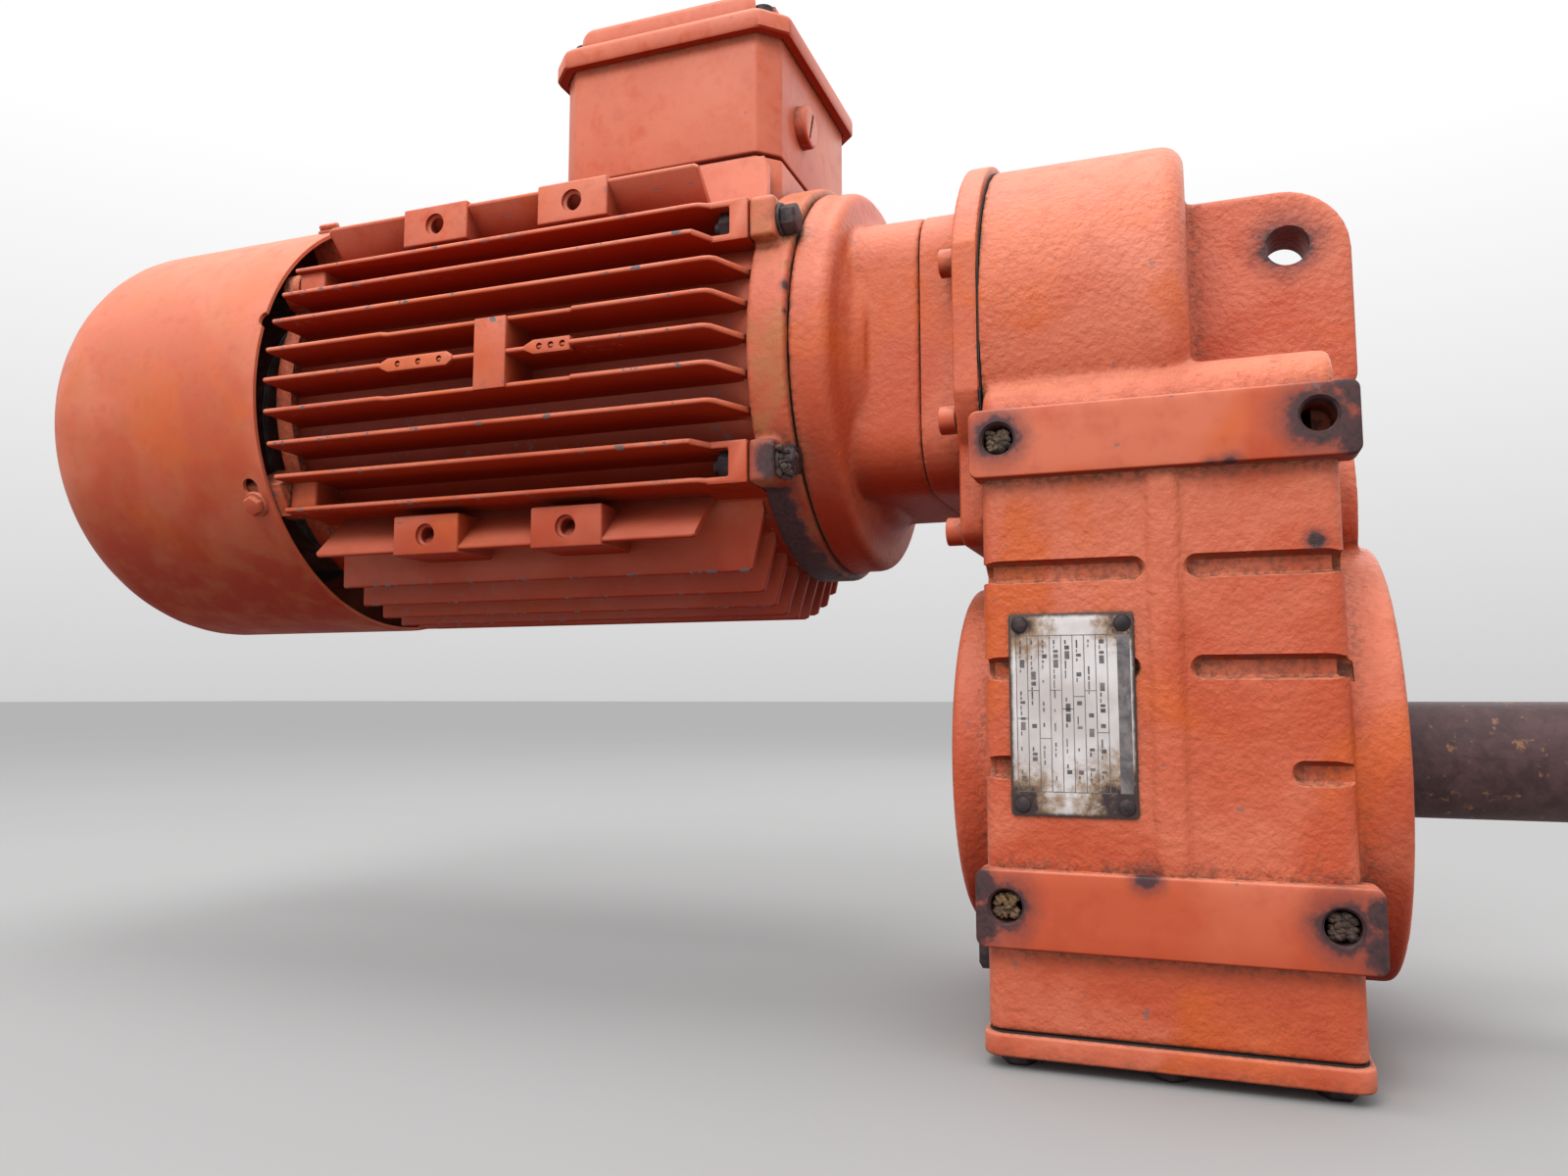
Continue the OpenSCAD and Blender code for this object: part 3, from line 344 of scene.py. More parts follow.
# ---------------- material nodes


class Paint:
    """A node material with short calls. Its textures lie in the shared frame, in metres, where every object's origin
    is, so they run on from piece to piece."""

    def __init__(self, name):
        self.material = bpy.data.materials.new(name)
        self.material.use_nodes = True
        self.tree = self.material.node_tree
        self.shader = self.tree.nodes["Principled BSDF"]
        self.place = self.node("ShaderNodeTexCoord").outputs["Object"]

    def node(self, kind, inputs=None, **settings):
        made = self.tree.nodes.new(kind)
        for key, value in settings.items():
            setattr(made, key, value)
        for key, value in (inputs or {}).items():
            self.feed(made.inputs[key], value)
        return made

    def feed(self, socket, value):
        if isinstance(value, bpy.types.NodeSocket):
            self.tree.links.new(value, socket)
        else:
            socket.default_value = value

    def math(self, operation, a, b=0.0, clamp=False):
        made = self.node("ShaderNodeMath", {0: a, 1: b}, operation=operation)
        made.use_clamp = clamp
        return made.outputs[0]

    def times(self, a, b, clamp=False):
        return self.math("MULTIPLY", a, b, clamp)

    def inverse(self, value):
        """1 where the value is 0, and 0 where it is 1."""
        return self.math("SUBTRACT", 1.0, value)

    def along(self, vector, axis):
        """One of a vector's numbers: 0, 1 or 2 for X, Y or Z."""
        return self.node("ShaderNodeSeparateXYZ", {0: vector}).outputs[axis]

    def noise(self, size, detail=4.0, rough=0.55, warp=0.0):
        """Noise whose patches measure about size millimetres."""
        inputs = {"Vector": self.place, "Scale": 1 / (size * MM), "Detail": detail, "Roughness": rough, "Distortion": warp}
        return self.node("ShaderNodeTexNoise", inputs).outputs["Fac"]

    def step(self, value, low, high):
        """0 below low and 1 above high, with a smooth change between them."""
        made = self.node("ShaderNodeMapRange", {"Value": value, "From Min": low, "From Max": high})
        made.interpolation_type = "SMOOTHSTEP"
        return made.outputs[0]

    def mix(self, share, a, b):
        made = self.node("ShaderNodeMix", data_type="RGBA")
        for key, value in ((0, share), (6, a), (7, b)):
            self.feed(made.inputs[key], value if not isinstance(value, tuple) else (*value, 1.0))
        return made.outputs[2]

    def tint(self, share, colour, strength=None):
        """Lays a colour over the base colour."""
        self.colour = self.mix(share if strength is None else self.times(share, strength), self.colour, colour)

    def vector(self, operation, *inputs):
        """A vector sum, or the number that LENGTH or DISTANCE gives."""
        made = self.node("ShaderNodeVectorMath", dict(enumerate(inputs)), operation=operation)
        return made.outputs["Value" if operation in ("LENGTH", "DISTANCE") else "Vector"]

    def edges(self, low, high):
        """1 on the edges that stick out."""
        return self.step(self.node("ShaderNodeNewGeometry").outputs["Pointiness"], low, high)

    def crevice(self, reach, low=0.35, high=0.85):
        """1 deep in a corner, 0 in the open; reach is in millimetres."""
        made = self.node("ShaderNodeAmbientOcclusion", {"Distance": reach * MM}, samples=6)
        return self.inverse(self.step(made.outputs["AO"], low, high))

    def upward(self, low, high):
        """1 where the surface faces up."""
        normal = self.node("ShaderNodeNewGeometry").outputs["Normal"]
        return self.step(self.along(normal, 2), low, high)

    def distance(self, spots, ragged):
        """0 at the spots and 1 at their ragged rims. A spot is ((x, y, z), radius), in millimetres."""
        total = None
        for centre, radius in spots:
            centre = tuple(c * MM for c in centre)
            far = self.math("DIVIDE", self.vector("DISTANCE", self.place, centre), radius * MM)
            total = far if total is None else self.math("MINIMUM", total, far)
        return self.math("ADD", total, ragged)

    def near(self, spots, ragged):
        """1 at the spots, falling to 0 at their rims."""
        return self.inverse(self.step(self.distance(spots, ragged), 0.35, 1.0))

    def bump(self, parts):
        """Stacks bumps, each (height, millimetres)."""
        normal = None
        for height, depth in parts:
            inputs = {"Height": height, "Distance": depth * MM, "Strength": 1.0}
            if normal is not None:
                inputs["Normal"] = normal
            normal = self.node("ShaderNodeBump", inputs).outputs[0]
        self.feed(self.shader.inputs["Normal"], normal)

    def set(self, rough, metallic=0.0):
        """Gives the shader its base colour and its finish."""
        self.feed(self.shader.inputs["Base Color"], self.colour)
        self.feed(self.shader.inputs["Roughness"], rough)
        self.shader.inputs["Metallic"].default_value = metallic


# Linear colours
BLEACHED = (0.76, 0.27, 0.165)
SUNNED = (0.68, 0.215, 0.135)
FADED = (0.60, 0.140, 0.070)
ORANGE = (0.50, 0.072, 0.022)
VIVID = (0.58, 0.095, 0.008)
DEEP = (0.36, 0.038, 0.014)
SHADE = (0.20, 0.011, 0.002)
# Painted shade for undersides and for parts low down
SHADE_BELOW = (0.23, 0.012, 0.002)
# This colour and the next are stain colours, and they also paint shadow along the drive end shield's rim
STAIN_AND_SHADOW = (0.062, 0.026, 0.030)
HALO = (0.17, 0.042, 0.034)
GRIME = (0.13, 0.052, 0.032)
# Used for soot and stains, and also for painted shadow along the drive end shield's rim
SOOT_AND_SHADOW = (0.030, 0.020, 0.020)
DUST = (0.30, 0.145, 0.075)
OCHRE = (0.42, 0.155, 0.055)
BARE = (0.13, 0.115, 0.12)
PLATE_DULL, PLATE_BRIGHT = (0.56, 0.50, 0.48), (0.72, 0.68, 0.68)
PLATE_STAIN, PLATE_ROT, PLATE_RIM = (0.26, 0.13, 0.035), (0.045, 0.028, 0.030), (0.06, 0.036, 0.030)


# Castings coarser than this have machined strap faces, which stay smooth
MACHINED_GRAIN = 0.8


def painted(name, grain, spots=(), dust=0.6, chips=0.5, fade=0.6, deep=0.0, chip_radius=0.0, ochre=0.0):
    """Weathered orange paint, with painted shade on the surfaces that face down. grain is the depth of the cast
    texture in millimetres, spots are stains, and along the drive end shield's rim painted shadow, and dust, chips and
    fade are strengths. deep is the strength of painted shade in wide hollows and on the parts low down, and ochre is a
    brownish dust. With chip_radius the paint is chipped in dashes at that distance from the motor axis, instead of in
    flecks."""
    p = Paint(name)
    wide = p.noise(55, 3.0, 0.5, warp=0.6)
    small = p.noise(9, 5.0, 0.62)
    fine = p.noise(1.6, 4.0, 0.6)
    p.colour = p.mix(p.step(wide, 0.38, 0.62), ORANGE, FADED)
    vivid = p.times(p.step(p.noise(70, 2.0, 0.5, warp=1.2), 0.55, 0.66), 0.75)
    p.tint(vivid, VIVID)
    p.tint(p.upward(-0.2, 1.0), BLEACHED, fade)
    height = p.along(p.place, 2)
    worn = p.times(p.step(height, 0.09, 0.22), p.step(small, 0.25, 0.60))
    p.tint(worn, SUNNED, 0.5)
    # Painted shade: the parts low down and the wide hollows, such as the channels between fins, are darkened
    if deep:
        low = p.inverse(p.step(height, 0.060, 0.112))
        p.tint(low, SHADE_BELOW, 0.62)
        p.tint(p.crevice(26, 0.15, 0.75), SHADE, deep)
    p.tint(p.step(small, 0.45, 0.75), DEEP, 0.28)
    # Painted shade: surfaces that face down are darkened to a deep red
    under = p.inverse(p.upward(-0.95, -0.12))
    p.tint(under, SHADE_BELOW, 0.96)
    if ochre:
        p.tint(p.step(p.noise(16, 5.0, 0.6), 0.42, 0.66), OCHRE, ochre)
    dusty = p.times(p.times(p.crevice(7), p.step(small, 0.30, 0.62)), dust)
    p.tint(dusty, DUST)
    grime = p.times(p.times(p.crevice(4, 0.2, 0.62), p.step(small, 0.36, 0.56)), min(0.8, dust * 1.4))
    p.tint(grime, SOOT_AND_SHADOW)
    seam = p.times(p.crevice(11, 0.50, 0.98), p.step(p.noise(2.2, 4.0, 0.65), 0.44, 0.60))
    p.tint(p.times(seam, dust, clamp=True), GRIME)
    speck = p.times(p.step(p.noise(2.6, 3.0, 0.6), 0.64, 0.70), p.times(p.upward(0.0, 0.8), dust))
    p.tint(speck, DEEP, 0.75)
    ragged = p.times(p.math("SUBTRACT", small, 0.5), 0.9)
    # The spots are stains, and along the drive end shield's rim painted shadow
    if spots:
        far = p.distance(spots, p.math("ADD", ragged, p.times(p.math("SUBTRACT", fine, 0.5), 0.35)))
        halo = p.inverse(p.step(far, 0.45, 1.35))
        p.tint(halo, HALO, 0.85)
        core = p.inverse(p.step(far, 0.50, 0.72))
        p.tint(p.times(core, 0.95), p.mix(p.step(fine, 0.45, 0.62), STAIN_AND_SHADOW, SOOT_AND_SHADOW))
    chipped = p.times(p.edges(0.53, 0.60), p.step(p.noise(5, 5.0, 0.7), 0.58, 0.62))
    chipped = p.times(chipped, chips)
    if chip_radius:
        flat = p.vector("SUBTRACT", p.place, (0, 0, MOTOR_Z * MM))
        flat = p.vector("MULTIPLY", flat, (0, 1, 1))
        out = p.vector("LENGTH", flat)
        rim = p.math("SUBTRACT", p.step(out, (chip_radius - 0.4) * MM, (chip_radius - 0.2) * MM),
                     p.step(out, (chip_radius + 0.1) * MM, (chip_radius + 0.3) * MM))
        fleck = p.times(rim, p.step(p.noise(7, 4.0, 0.6), 0.615, 0.63))
    else:
        fleck = p.times(p.step(p.noise(6.5, 2.0, 0.5), 0.735, 0.755), chips)
    bare = p.math("MAXIMUM", chipped, fleck)
    p.tint(bare, BARE)
    rough = p.math("ADD", 0.42, p.times(small, 0.22))
    rough = p.math("ADD", rough, p.times(dusty, 0.25), clamp=True)
    p.set(rough)
    # Surfaces that face down also reflect less, to go with their painted shade
    p.feed(p.shader.inputs["Specular IOR Level"], p.math("SUBTRACT", 0.35, p.times(under, 0.32)))
    if grain > MACHINED_GRAIN:
        front = p.along(p.place, 1)
        grain = p.times(p.step(p.math("ABSOLUTE", front), (STRAP_Y - 0.4) * MM, (STRAP_Y - 1.2) * MM), grain)
    orange_peel = p.noise(2.5, 3.5, 0.55)
    paint_layer = p.inverse(bare)
    p.bump([(p.times(orange_peel, grain), 1.0), (p.times(fine, grain), 0.22), (paint_layer, 0.10)])
    return p.material


def metal(name, dark, light, grain=0.15, metallic=0.55, rough=0.45, specks=None):
    """Rusted, blackened or bare steel."""
    p = Paint(name)
    patches = p.noise(7, 6.0, 0.65, warp=0.4)
    p.colour = p.mix(p.step(patches, 0.35, 0.68), dark, light)
    if specks:
        p.tint(p.step(p.noise(4.5, 5.0, 0.65), 0.60, 0.68), specks)
    p.tint(p.times(p.crevice(3), 0.6), SOOT_AND_SHADOW)
    p.set(p.math("ADD", rough, p.times(patches, 0.35), clamp=True), metallic)
    p.bump([(p.noise(2.2, 5.0, 0.62), grain), (patches, grain)])
    return p.material


def plate_look():
    """Bright nameplate metal with brown stains that creep in from the corners and edges."""
    p = Paint("nameplate_look")
    small = p.noise(4, 5.0, 0.65)
    p.colour = p.mix(p.step(p.noise(18, 3.0), 0.35, 0.7), PLATE_DULL, PLATE_BRIGHT)
    ragged = p.times(p.math("SUBTRACT", p.noise(3, 5.0, 0.7), 0.5), 1.6)
    light = p.near([((x, PLATE_Y, z), r) for (x, z), r in zip(RIVETS, (17, 13, 22, 11))], ragged)
    p.tint(light, PLATE_STAIN, 0.85)
    heavy = p.near([((x, PLATE_Y, z), r) for (x, z), r in zip(RIVETS, (9, 6, 13, 6))], ragged)
    p.tint(heavy, PLATE_ROT)
    middle = ((PLATE_X0 + PLATE_X1) / 2 * MM, PLATE_Y * MM, (PLATE_Z0 + PLATE_Z1) / 2 * MM)
    away = p.vector("SUBTRACT", p.place, middle)
    away = p.vector("ABSOLUTE", away)
    split = p.node("ShaderNodeSeparateXYZ", {0: away})
    side = p.math("SUBTRACT", split.outputs[0], (PLATE_X1 - PLATE_X0) / 2 * MM)
    end = p.math("SUBTRACT", split.outputs[2], (PLATE_Z1 - PLATE_Z0) / 2 * MM)
    border = p.math("ADD", p.math("MAXIMUM", side, end), p.times(p.math("SUBTRACT", small, 0.5), 0.0016))
    p.tint(p.step(border, -0.0016, -0.0003), PLATE_RIM)
    p.set(p.math("ADD", 0.32, p.times(small, 0.3)), 0.35)
    p.bump([(small, 0.02)])
    return p.material


# Stains, each ((x, y, z), radius); the run along the drive end shield's lower rim is painted shadow
HOLE_SPOTS = [((-117.3, -86, 105.4), 11), ((-21.8, -86, 105.4), 14), ((-9, -87, 113), 13), ((-9, -87, 98), 12),
              ((-117.3, -86, -43.9), 11), ((-126, -87, -50), 10), ((-125, -87, -38), 8), ((-21.8, -86, -43.9), 12),
              ((-9, -87, -50), 13), ((-11, -86, -40), 8), ((-75, -85, -33), 6), ((-47, -86, 91), 5),
              ((-52, -86, 91), 4), ((-22.2, -12, 186.2), 13), ((-22.2, 12, 186.2), 12), ((-23.7, -81, 68.5), 4),
              ((-78, -86, 90.5), 2.5), ((-100, -87, 118.5), 2)]
SHIELD_SPOTS = [((-199, y * 84, MOTOR_Z + dz), r) for y in (-1, 1) for dz, r in ((-CORNER_DZ, 13), (CORNER_DZ, 5))]
# Painted shadow: a row of dark spots along the drive end shield's lower front rim, where it meets the fins
for t in range(40, 100, 7):
    turn = math.radians(t)
    rim = (-208 + t / 12, -SHIELD_R * math.cos(turn), MOTOR_Z - SHIELD_R * math.sin(turn))
    SHIELD_SPOTS.append((rim, 8 + t / 14))
SHIELD_SPOTS += [((-192.5, -79, MOTOR_Z + 18), 3.4), ((-192.5, -80, MOTOR_Z + 8), 2.0),
                 ((-192.5, -78, MOTOR_Z + 28), 2.2)]
DISC_SPOTS = [((-183, -48, MOTOR_Z - 66), 2.0), ((-181, -44, MOTOR_Z - 70), 1.8), ((-190, -38, MOTOR_Z - 73), 1.6),
              ((-188, -55, MOTOR_Z - 60), 1.3), ((-190, -78, MOTOR_Z + 27), 1.6)]

casting = painted("cast_paint", 0.95, HOLE_SPOTS, dust=0.8)
# The shield's spots include painted shadow along its lower rim
shield_paint = painted("shield_paint", 0.35, SHIELD_SPOTS, chips=0.4, ochre=0.7)
# The frame gets strong painted shade between its fins and low down
frame_paint = painted("frame_paint", 0.10, dust=0.15, chips=0.5, fade=0.45, deep=0.95, chip_radius=FIN_R)
sheet_paint = painted("sheet_paint", 0.035, dust=0.2, chips=0.25, fade=0.5)
cover_paint = painted("cover_paint", 0.45, chips=0.7)
disc_paint = painted("disc_paint", 0.5, DISC_SPOTS, chips=0.5)
cowl_paint = painted("cowl_paint", 0.03, dust=0.1, chips=0.15, fade=0.65, ochre=0.22)
box_paint = painted("box_paint", 0.03, dust=0.25, chips=0.3, fade=0.6)
chipped_paint = painted("chipped_paint", 0.08, dust=0.7, chips=1.0)
rusted_shaft = metal("rusted_shaft", (0.042, 0.016, 0.018), (0.088, 0.042, 0.044), 0.2, 0.1, 0.5, (0.22, 0.11, 0.05))
bolt_metal = metal("bolt_metal", (0.022, 0.017, 0.020), (0.085, 0.055, 0.055), 0.12, 0.5, 0.42)
hole_rust = metal("hole_rust", (0.10, 0.055, 0.035), (0.36, 0.20, 0.08), 0.5, 0.0, 0.75)
ink_black = metal("ink_black", (0.075, 0.065, 0.070), (0.22, 0.19, 0.19), 0.0, 0.0, 0.6)
nut_rust = metal("nut_rust", (0.045, 0.030, 0.032), (0.15, 0.085, 0.055), 0.3, 0.2, 0.6)
brown_dirt = metal("brown_dirt", (0.055, 0.038, 0.028), (0.20, 0.13, 0.085), 0.3, 0.0, 0.85)
steel_metal = metal("steel_metal", (0.30, 0.30, 0.32), (0.48, 0.48, 0.50), 0.02, 0.95, 0.22)
stack_metal = metal("stack_metal", (0.13, 0.14, 0.16), (0.24, 0.25, 0.28), 0.06, 0.8, 0.4)
copper_wire = metal("copper_wire", (0.36, 0.13, 0.04), (0.52, 0.22, 0.08), 0.3, 0.5, 0.35)
black_gum = metal("black_gum", (0.012, 0.012, 0.013), (0.030, 0.028, 0.028), 0.05, 0.0, 0.6)
fan_mould = metal("fan_mould", (0.016, 0.016, 0.018), (0.045, 0.040, 0.036), 0.05, 0.0, 0.45)
lining_fibre = metal("lining_fibre", (0.060, 0.042, 0.030), (0.13, 0.095, 0.07), 0.25, 0.0, 0.8)
board_mould = metal("board_mould", (0.11, 0.030, 0.016), (0.17, 0.055, 0.030), 0.05, 0.0, 0.4)
brass_bar = metal("brass_bar", (0.42, 0.27, 0.08), (0.62, 0.44, 0.16), 0.03, 0.9, 0.28)
plate_metal = plate_look()


# ---------------- gear housing


def housing_body():
    """The rounded block under the crown: a rounded-corner plan that draws in over the shoulder."""
    rings = []
    corner = 5
    levels = [(HOUSE_Z0, 0.0)] + [(SHOULDER_Z - 20 + 20 * math.sin(a), 20 - 20 * math.cos(a))
                                  for a in turns(10, 10)]
    for z, inset in levels:
        draft = 0.6 * (z - HOUSE_Z0) / 200
        outline = rounded_rect(BODY_X0 + draft, BODY_X1 - draft, -BODY_Y + inset, BODY_Y - inset, corner)
        rings.append([place(p, z, "z") for p in outline])
    return stack(rings)


def crown():
    """The round top over the first gear pair."""
    edge = 8
    front = -57
    profile = [(0, BODY_X0), (CROWN_R, BODY_X0)]
    profile += [(CROWN_R - edge + edge * math.cos(a), front - edge + edge * math.sin(a))
                for a in turns(10, 10)]
    return lathe(profile + [(0, front)], z=MOTOR_Z, steps=128)


def lug():
    """The torque-arm plate in the middle of the unit."""
    outline = [(-75, 115), (-18, 115), (-16, 127), (-9, 127), (-1, 135)]
    outline += rounded_corner((-25, 207.6 - 24), 24, 0, 90, 8) + [(-75, 207.6)]
    return edge_round(prism(outline, "y", -LUG_Y, LUG_Y), 1.5)


def boss(r, x0, x1):
    """A round boss on the output axis, its outer edge rounded towards x0 or x1."""
    outer, edge = x1 > -1, 3
    arc = turns(15, 7)
    if outer:
        rim = [(r - edge + edge * math.cos(a), x1 - edge + edge * math.sin(a)) for a in arc]
        return lathe([(0, x0), (r, x0), *rim, (0, x1)], steps=128)
    rim = [(r - edge + edge * math.sin(a), x0 + edge - edge * math.cos(a)) for a in arc]
    return lathe([(0, x0), *rim, (r, x1), (0, x1)], steps=128)


GROOVES = [(BODY_X0 - 9, -73, 61.9), (-61, BODY_X1 + 9, 61.9), (BODY_X0 - 9, -75, 30.6), (-60, BODY_X1 + 9, 30.6),
           (BODY_X0 - 9, -90, -1), (-33, BODY_X1 + 9, -1)]


def groove(x0, x1, z):
    """A shallow slot with a round inner end and soft lips. It turns the corner and runs a little down the side."""
    side = BODY_X1 if x1 > BODY_X1 else BODY_X0
    way = 1 if side == BODY_X1 else -1
    lips = [(-1.5, 4.8), (0.0, 3.9), (0.7, 3.45), (3.3, 2.9), (3.9, 2.2)]
    slot, notch = [], []
    for deep, h in lips:
        long = rounded_rect(x0 + 3.6 - h, x1 - 3.6 + h, z - h, z + h, h - 0.05, 8)
        slot.append([place(p, -BODY_Y + deep, "y") for p in long])
        short = rounded_rect(-BODY_Y - 8, -BODY_Y + 14, z - h, z + h, h - 0.05, 8)
        notch.append([place(p, side - way * deep, "x") for p in short])
    slot, notch = stack(slot), stack(notch)
    return [slot, notch] if z > 0 or side == BODY_X0 else [slot]


def strap(z0, z1):
    """A machined foot pad that runs across the whole front."""
    outline = rounded_rect(STRAP_X[0], STRAP_X[1], z0, z1, 3)
    return edge_round(prism(outline, "y", -STRAP_Y, -BODY_Y + 7), 0.8)


def housing_cavity():
    """Room for the gears, as in the CAD housing."""
    wall = 7
    return [box((BODY_X0 + wall, -BODY_Y + wall, HOUSE_Z0 - 5), (BODY_X1 - wall, BODY_Y - wall, SHOULDER_Z - 20)),
            rod("x", AXIS_1, CROWN_R - 8, BODY_X0 + wall, -66, 96)]


def tapped_hole(x, z):
    """A drilled hole with a small countersink in a foot strap."""
    face = -STRAP_Y
    return drilled("y", (x, z), [(face + 17, 5.1), (face + 0.9, 5.1), (face - 0.2, 6.0)], 40)


def gear_housing():
    rib_x = (-71.6, -62.6)
    ribs = [edge_round(box((rib_x[0], -BODY_Y - 2.2, -40), (rib_x[1], -BODY_Y + 5, 100)), 1.2)]
    soft = [housing_body(), crown(), lug()]
    soft += [boss(OUT_BOSS_R, BODY_X1 - 20, 0), boss(REAR_BOSS_R, HOUSE_X0, BODY_X0 + 20)]
    soft += [rod("x", AXIS_2, 30, BODY_X1 - 10, -5.5)] + ribs + [mirrored(r) for r in ribs]
    body = add(scratch(soft[0]), soft[1:])
    ob = cast(body, 1.1, 8, 0.45)
    straps = [strap(*z) for z in STRAP_Z]
    add(ob, straps + [mirrored(strap(*z)) for z in STRAP_Z])
    grooves = [part for g in GROOVES for part in groove(*g)]
    grooves += [mirrored(part) for part in grooves]
    holes = grooves + [tapped_hole(x, z) for x, z in STRAP_HOLES]
    holes += [rod("y", EYE, EYE_R, -LUG_Y - 3, LUG_Y + 3)]
    holes += [rod("x", (0, 0), 45, -60, 3, 96), rod("x", (0, 0), 45, HOUSE_X0 - 3, -100, 96)]
    holes += [rod("x", AXIS_2, 23.5, BODY_X0 - 3, -100), rod("x", AXIS_1, 34, BODY_X0 - 3, BODY_X0 + 12)]
    holes += [rod("x", (60 * math.sin(a), 60 * math.cos(a)), 4.25, -14, 3, 32)
              for a in [math.radians(60 * i - 30) for i in range(6)]]
    cut(ob, housing_cavity() + holes)
    finish_piece(ob, "gear_housing_casting", casting, "gear_housing")


def bottom_cover():
    grow = 1.5
    plan = rounded_rect(BODY_X0 - grow, BODY_X1 + grow, -BODY_Y - grow, BODY_Y + grow, 6)
    ob = scratch(edge_round(prism(plan, "z", COVER_Z0, COVER_Z1), 1.0))
    cut(ob, [rod("z", (x, y), M6_HOLE, COVER_Z0 - 1, COVER_Z1 + 1, 24) for x, y in RIM_SCREWS])
    finish_piece(ob, "bottom_cover_plate", cover_paint, "bottom_cover")


def bottom_screws():
    parts = []
    for n, (x, y) in enumerate(RIM_SCREWS):
        parts.append(hex_head("z", (x, y), 10, COVER_Z0, COVER_Z0 - 3.9, 17 * n))
        parts.append(rod("z", (x, y), M6_SHANK, COVER_Z0 - 1, COVER_Z0 + 20, 24))
    finish_piece(scratch(joined(parts)), "bottom_hex_screws", bolt_metal, "bottom_cover_screws")


def neck_outline():
    """The rounded square neck that the input cover and the adapter share."""
    return rounded_rect(-NECK_HALF, NECK_HALF, MOTOR_Z - NECK_HALF, MOTOR_Z + NECK_HALF, NECK_CORNER, 10)


def input_cover():
    """The plate and neck between the gear housing and the motor adapter."""
    face = scratch(rod("x", AXIS_1, CROWN_R + 2.8, COVER_X0, GASKET_X - 0.02, 128))
    cut(face, [box((COVER_X0 - 1, y, 0), (GASKET_X + 1, y + 125, 300)) for y in (-200, 75)])
    more = [prism(rounded_rect(-66, 66, 74, 146, 8), "x", COVER_X0, GASKET_X - 0.02),
            rod("x", AXIS_2, 24.2, COVER_X0, GASKET_X - 0.02, 64),
            prism(neck_outline(), "x", NECK_X0, COVER_X0 + 1)]
    add(face, more)
    ob = cast(face, 1.1, 3, 0.5)
    cuts = [rod("x", AXIS_1, 31, NECK_X0 - 1, -127, 64), rod("x", AXIS_1, 25, -128, GASKET_X + 2, 64)]
    cuts += [rod("x", (y, z), M6_HOLE, COVER_X0 - 8, GASKET_X + 2, 24) for y, z in COVER_SCREWS]
    cuts += [rod("x", (y, z), 5.7, COVER_X0 - 8, COVER_X0, 32) for y, z in COVER_SCREWS]
    cuts += [rod("x", where, 4, NECK_X0 - 1, NECK_X0 + 14, 24) for where in ADAPTER_SCREWS]
    cut(ob, cuts)
    finish_piece(ob, "input_cover_casting", cover_paint, "input_cover")


def cover_screws():
    """Socket head screws, painted over with the cover."""
    heads, shanks = [], []
    for y, z in COVER_SCREWS:
        head = scratch(edge_round(rod("x", (y, z), 5, COVER_X0 - 6, COVER_X0 - 0.05, 40), 0.5))
        socket = prism(hexagon((y, z), 5), "x", COVER_X0 - 7, COVER_X0 - 3)
        cut(head, [socket])
        heads.append(taken(head))
        shanks.append(rod("x", (y, z), M6_SHANK, COVER_X0 - 1, BODY_X0 + 8, 24))
    finish_piece(scratch(joined(heads + shanks)), "input_cover_cap_screws", chipped_paint, "input_cover_screws")


# ---------------- adapter and drive end shield


def adapter():
    """A stepped disc that runs into a square neck."""
    arc = turns(15, 7)
    rim = [(DISC_R - 5.3 + 4.5 * math.cos(a), -182.5 + 4.5 * math.sin(a)) for a in arc]
    profile = [(0, DISC_X0), (DISC_R, DISC_X0), (DISC_R, DISC_X0 + 3), (DISC_R - 0.8, DISC_X0 + 3.4), *rim,
               (67, -177.6), (61, -175), (57, -170), (0, -170)]
    disc = scratch(lathe(profile, z=MOTOR_Z, steps=160))
    neck = prism(neck_outline(), "x", -184, NECK_X1)
    add(disc, [neck])
    ob = cast(disc, 1.15, 6, 0.5)
    cuts = [rod("x", AXIS_1, 44, DISC_X0 - 1, -162, 64), rod("x", AXIS_1, 30, -163, NECK_X1 + 1, 64)]
    stations = [(DISC_X0 - 1, 7.5), (-166, 7.5), (-165.9, 4.4), (NECK_X1 + 1, 4.4)]
    cuts += [drilled("x", where, stations) for where in ADAPTER_SCREWS]
    cut(ob, cuts)
    finish_piece(ob, "adapter_casting", disc_paint, "adapter_flange")


def drive_end_shield():
    x0, x1 = DISC_X0 - 15, DISC_X0 - 0.15
    ring = scratch(edge_round(rod("x", AXIS_1, SHIELD_R, x0, x1, 160), 0.8, 2))
    blocks = []
    for y in (-79, 58):
        for dz in (-CORNER_DZ, CORNER_DZ):
            blocks.append(edge_round(box((x0, y, MOTOR_Z + dz - 8), (BOLT_SEAT, y + 21, MOTOR_Z + dz + 8)), 1.4))
    add(ring, blocks)
    ob = cast(ring, 1.0, 3, 0.5)
    cuts = [rod("x", AXIS_1, 68, x0 - 2, -205, 64), rod("x", AXIS_1, 31, -206, x1 + 2, 64)]
    cuts.append(lathe([(40, -206), (66, -206), (66, -199), (40, -199)], z=MOTOR_Z, steps=64))
    cuts += [rod("x", where, M6_HOLE, x0 - 2, x1 + 2, 24) for where in SHIELD_BOLTS]
    cut(ob, cuts)
    spigot = lathe([(68, x0 - 4), (72.4, x0 - 4), (72.4, x0 + 1), (68, x0 + 1)], z=MOTOR_Z, steps=96)
    add(ob, [spigot])
    finish_piece(ob, "drive_end_ring", shield_paint, "drive_end_shield")


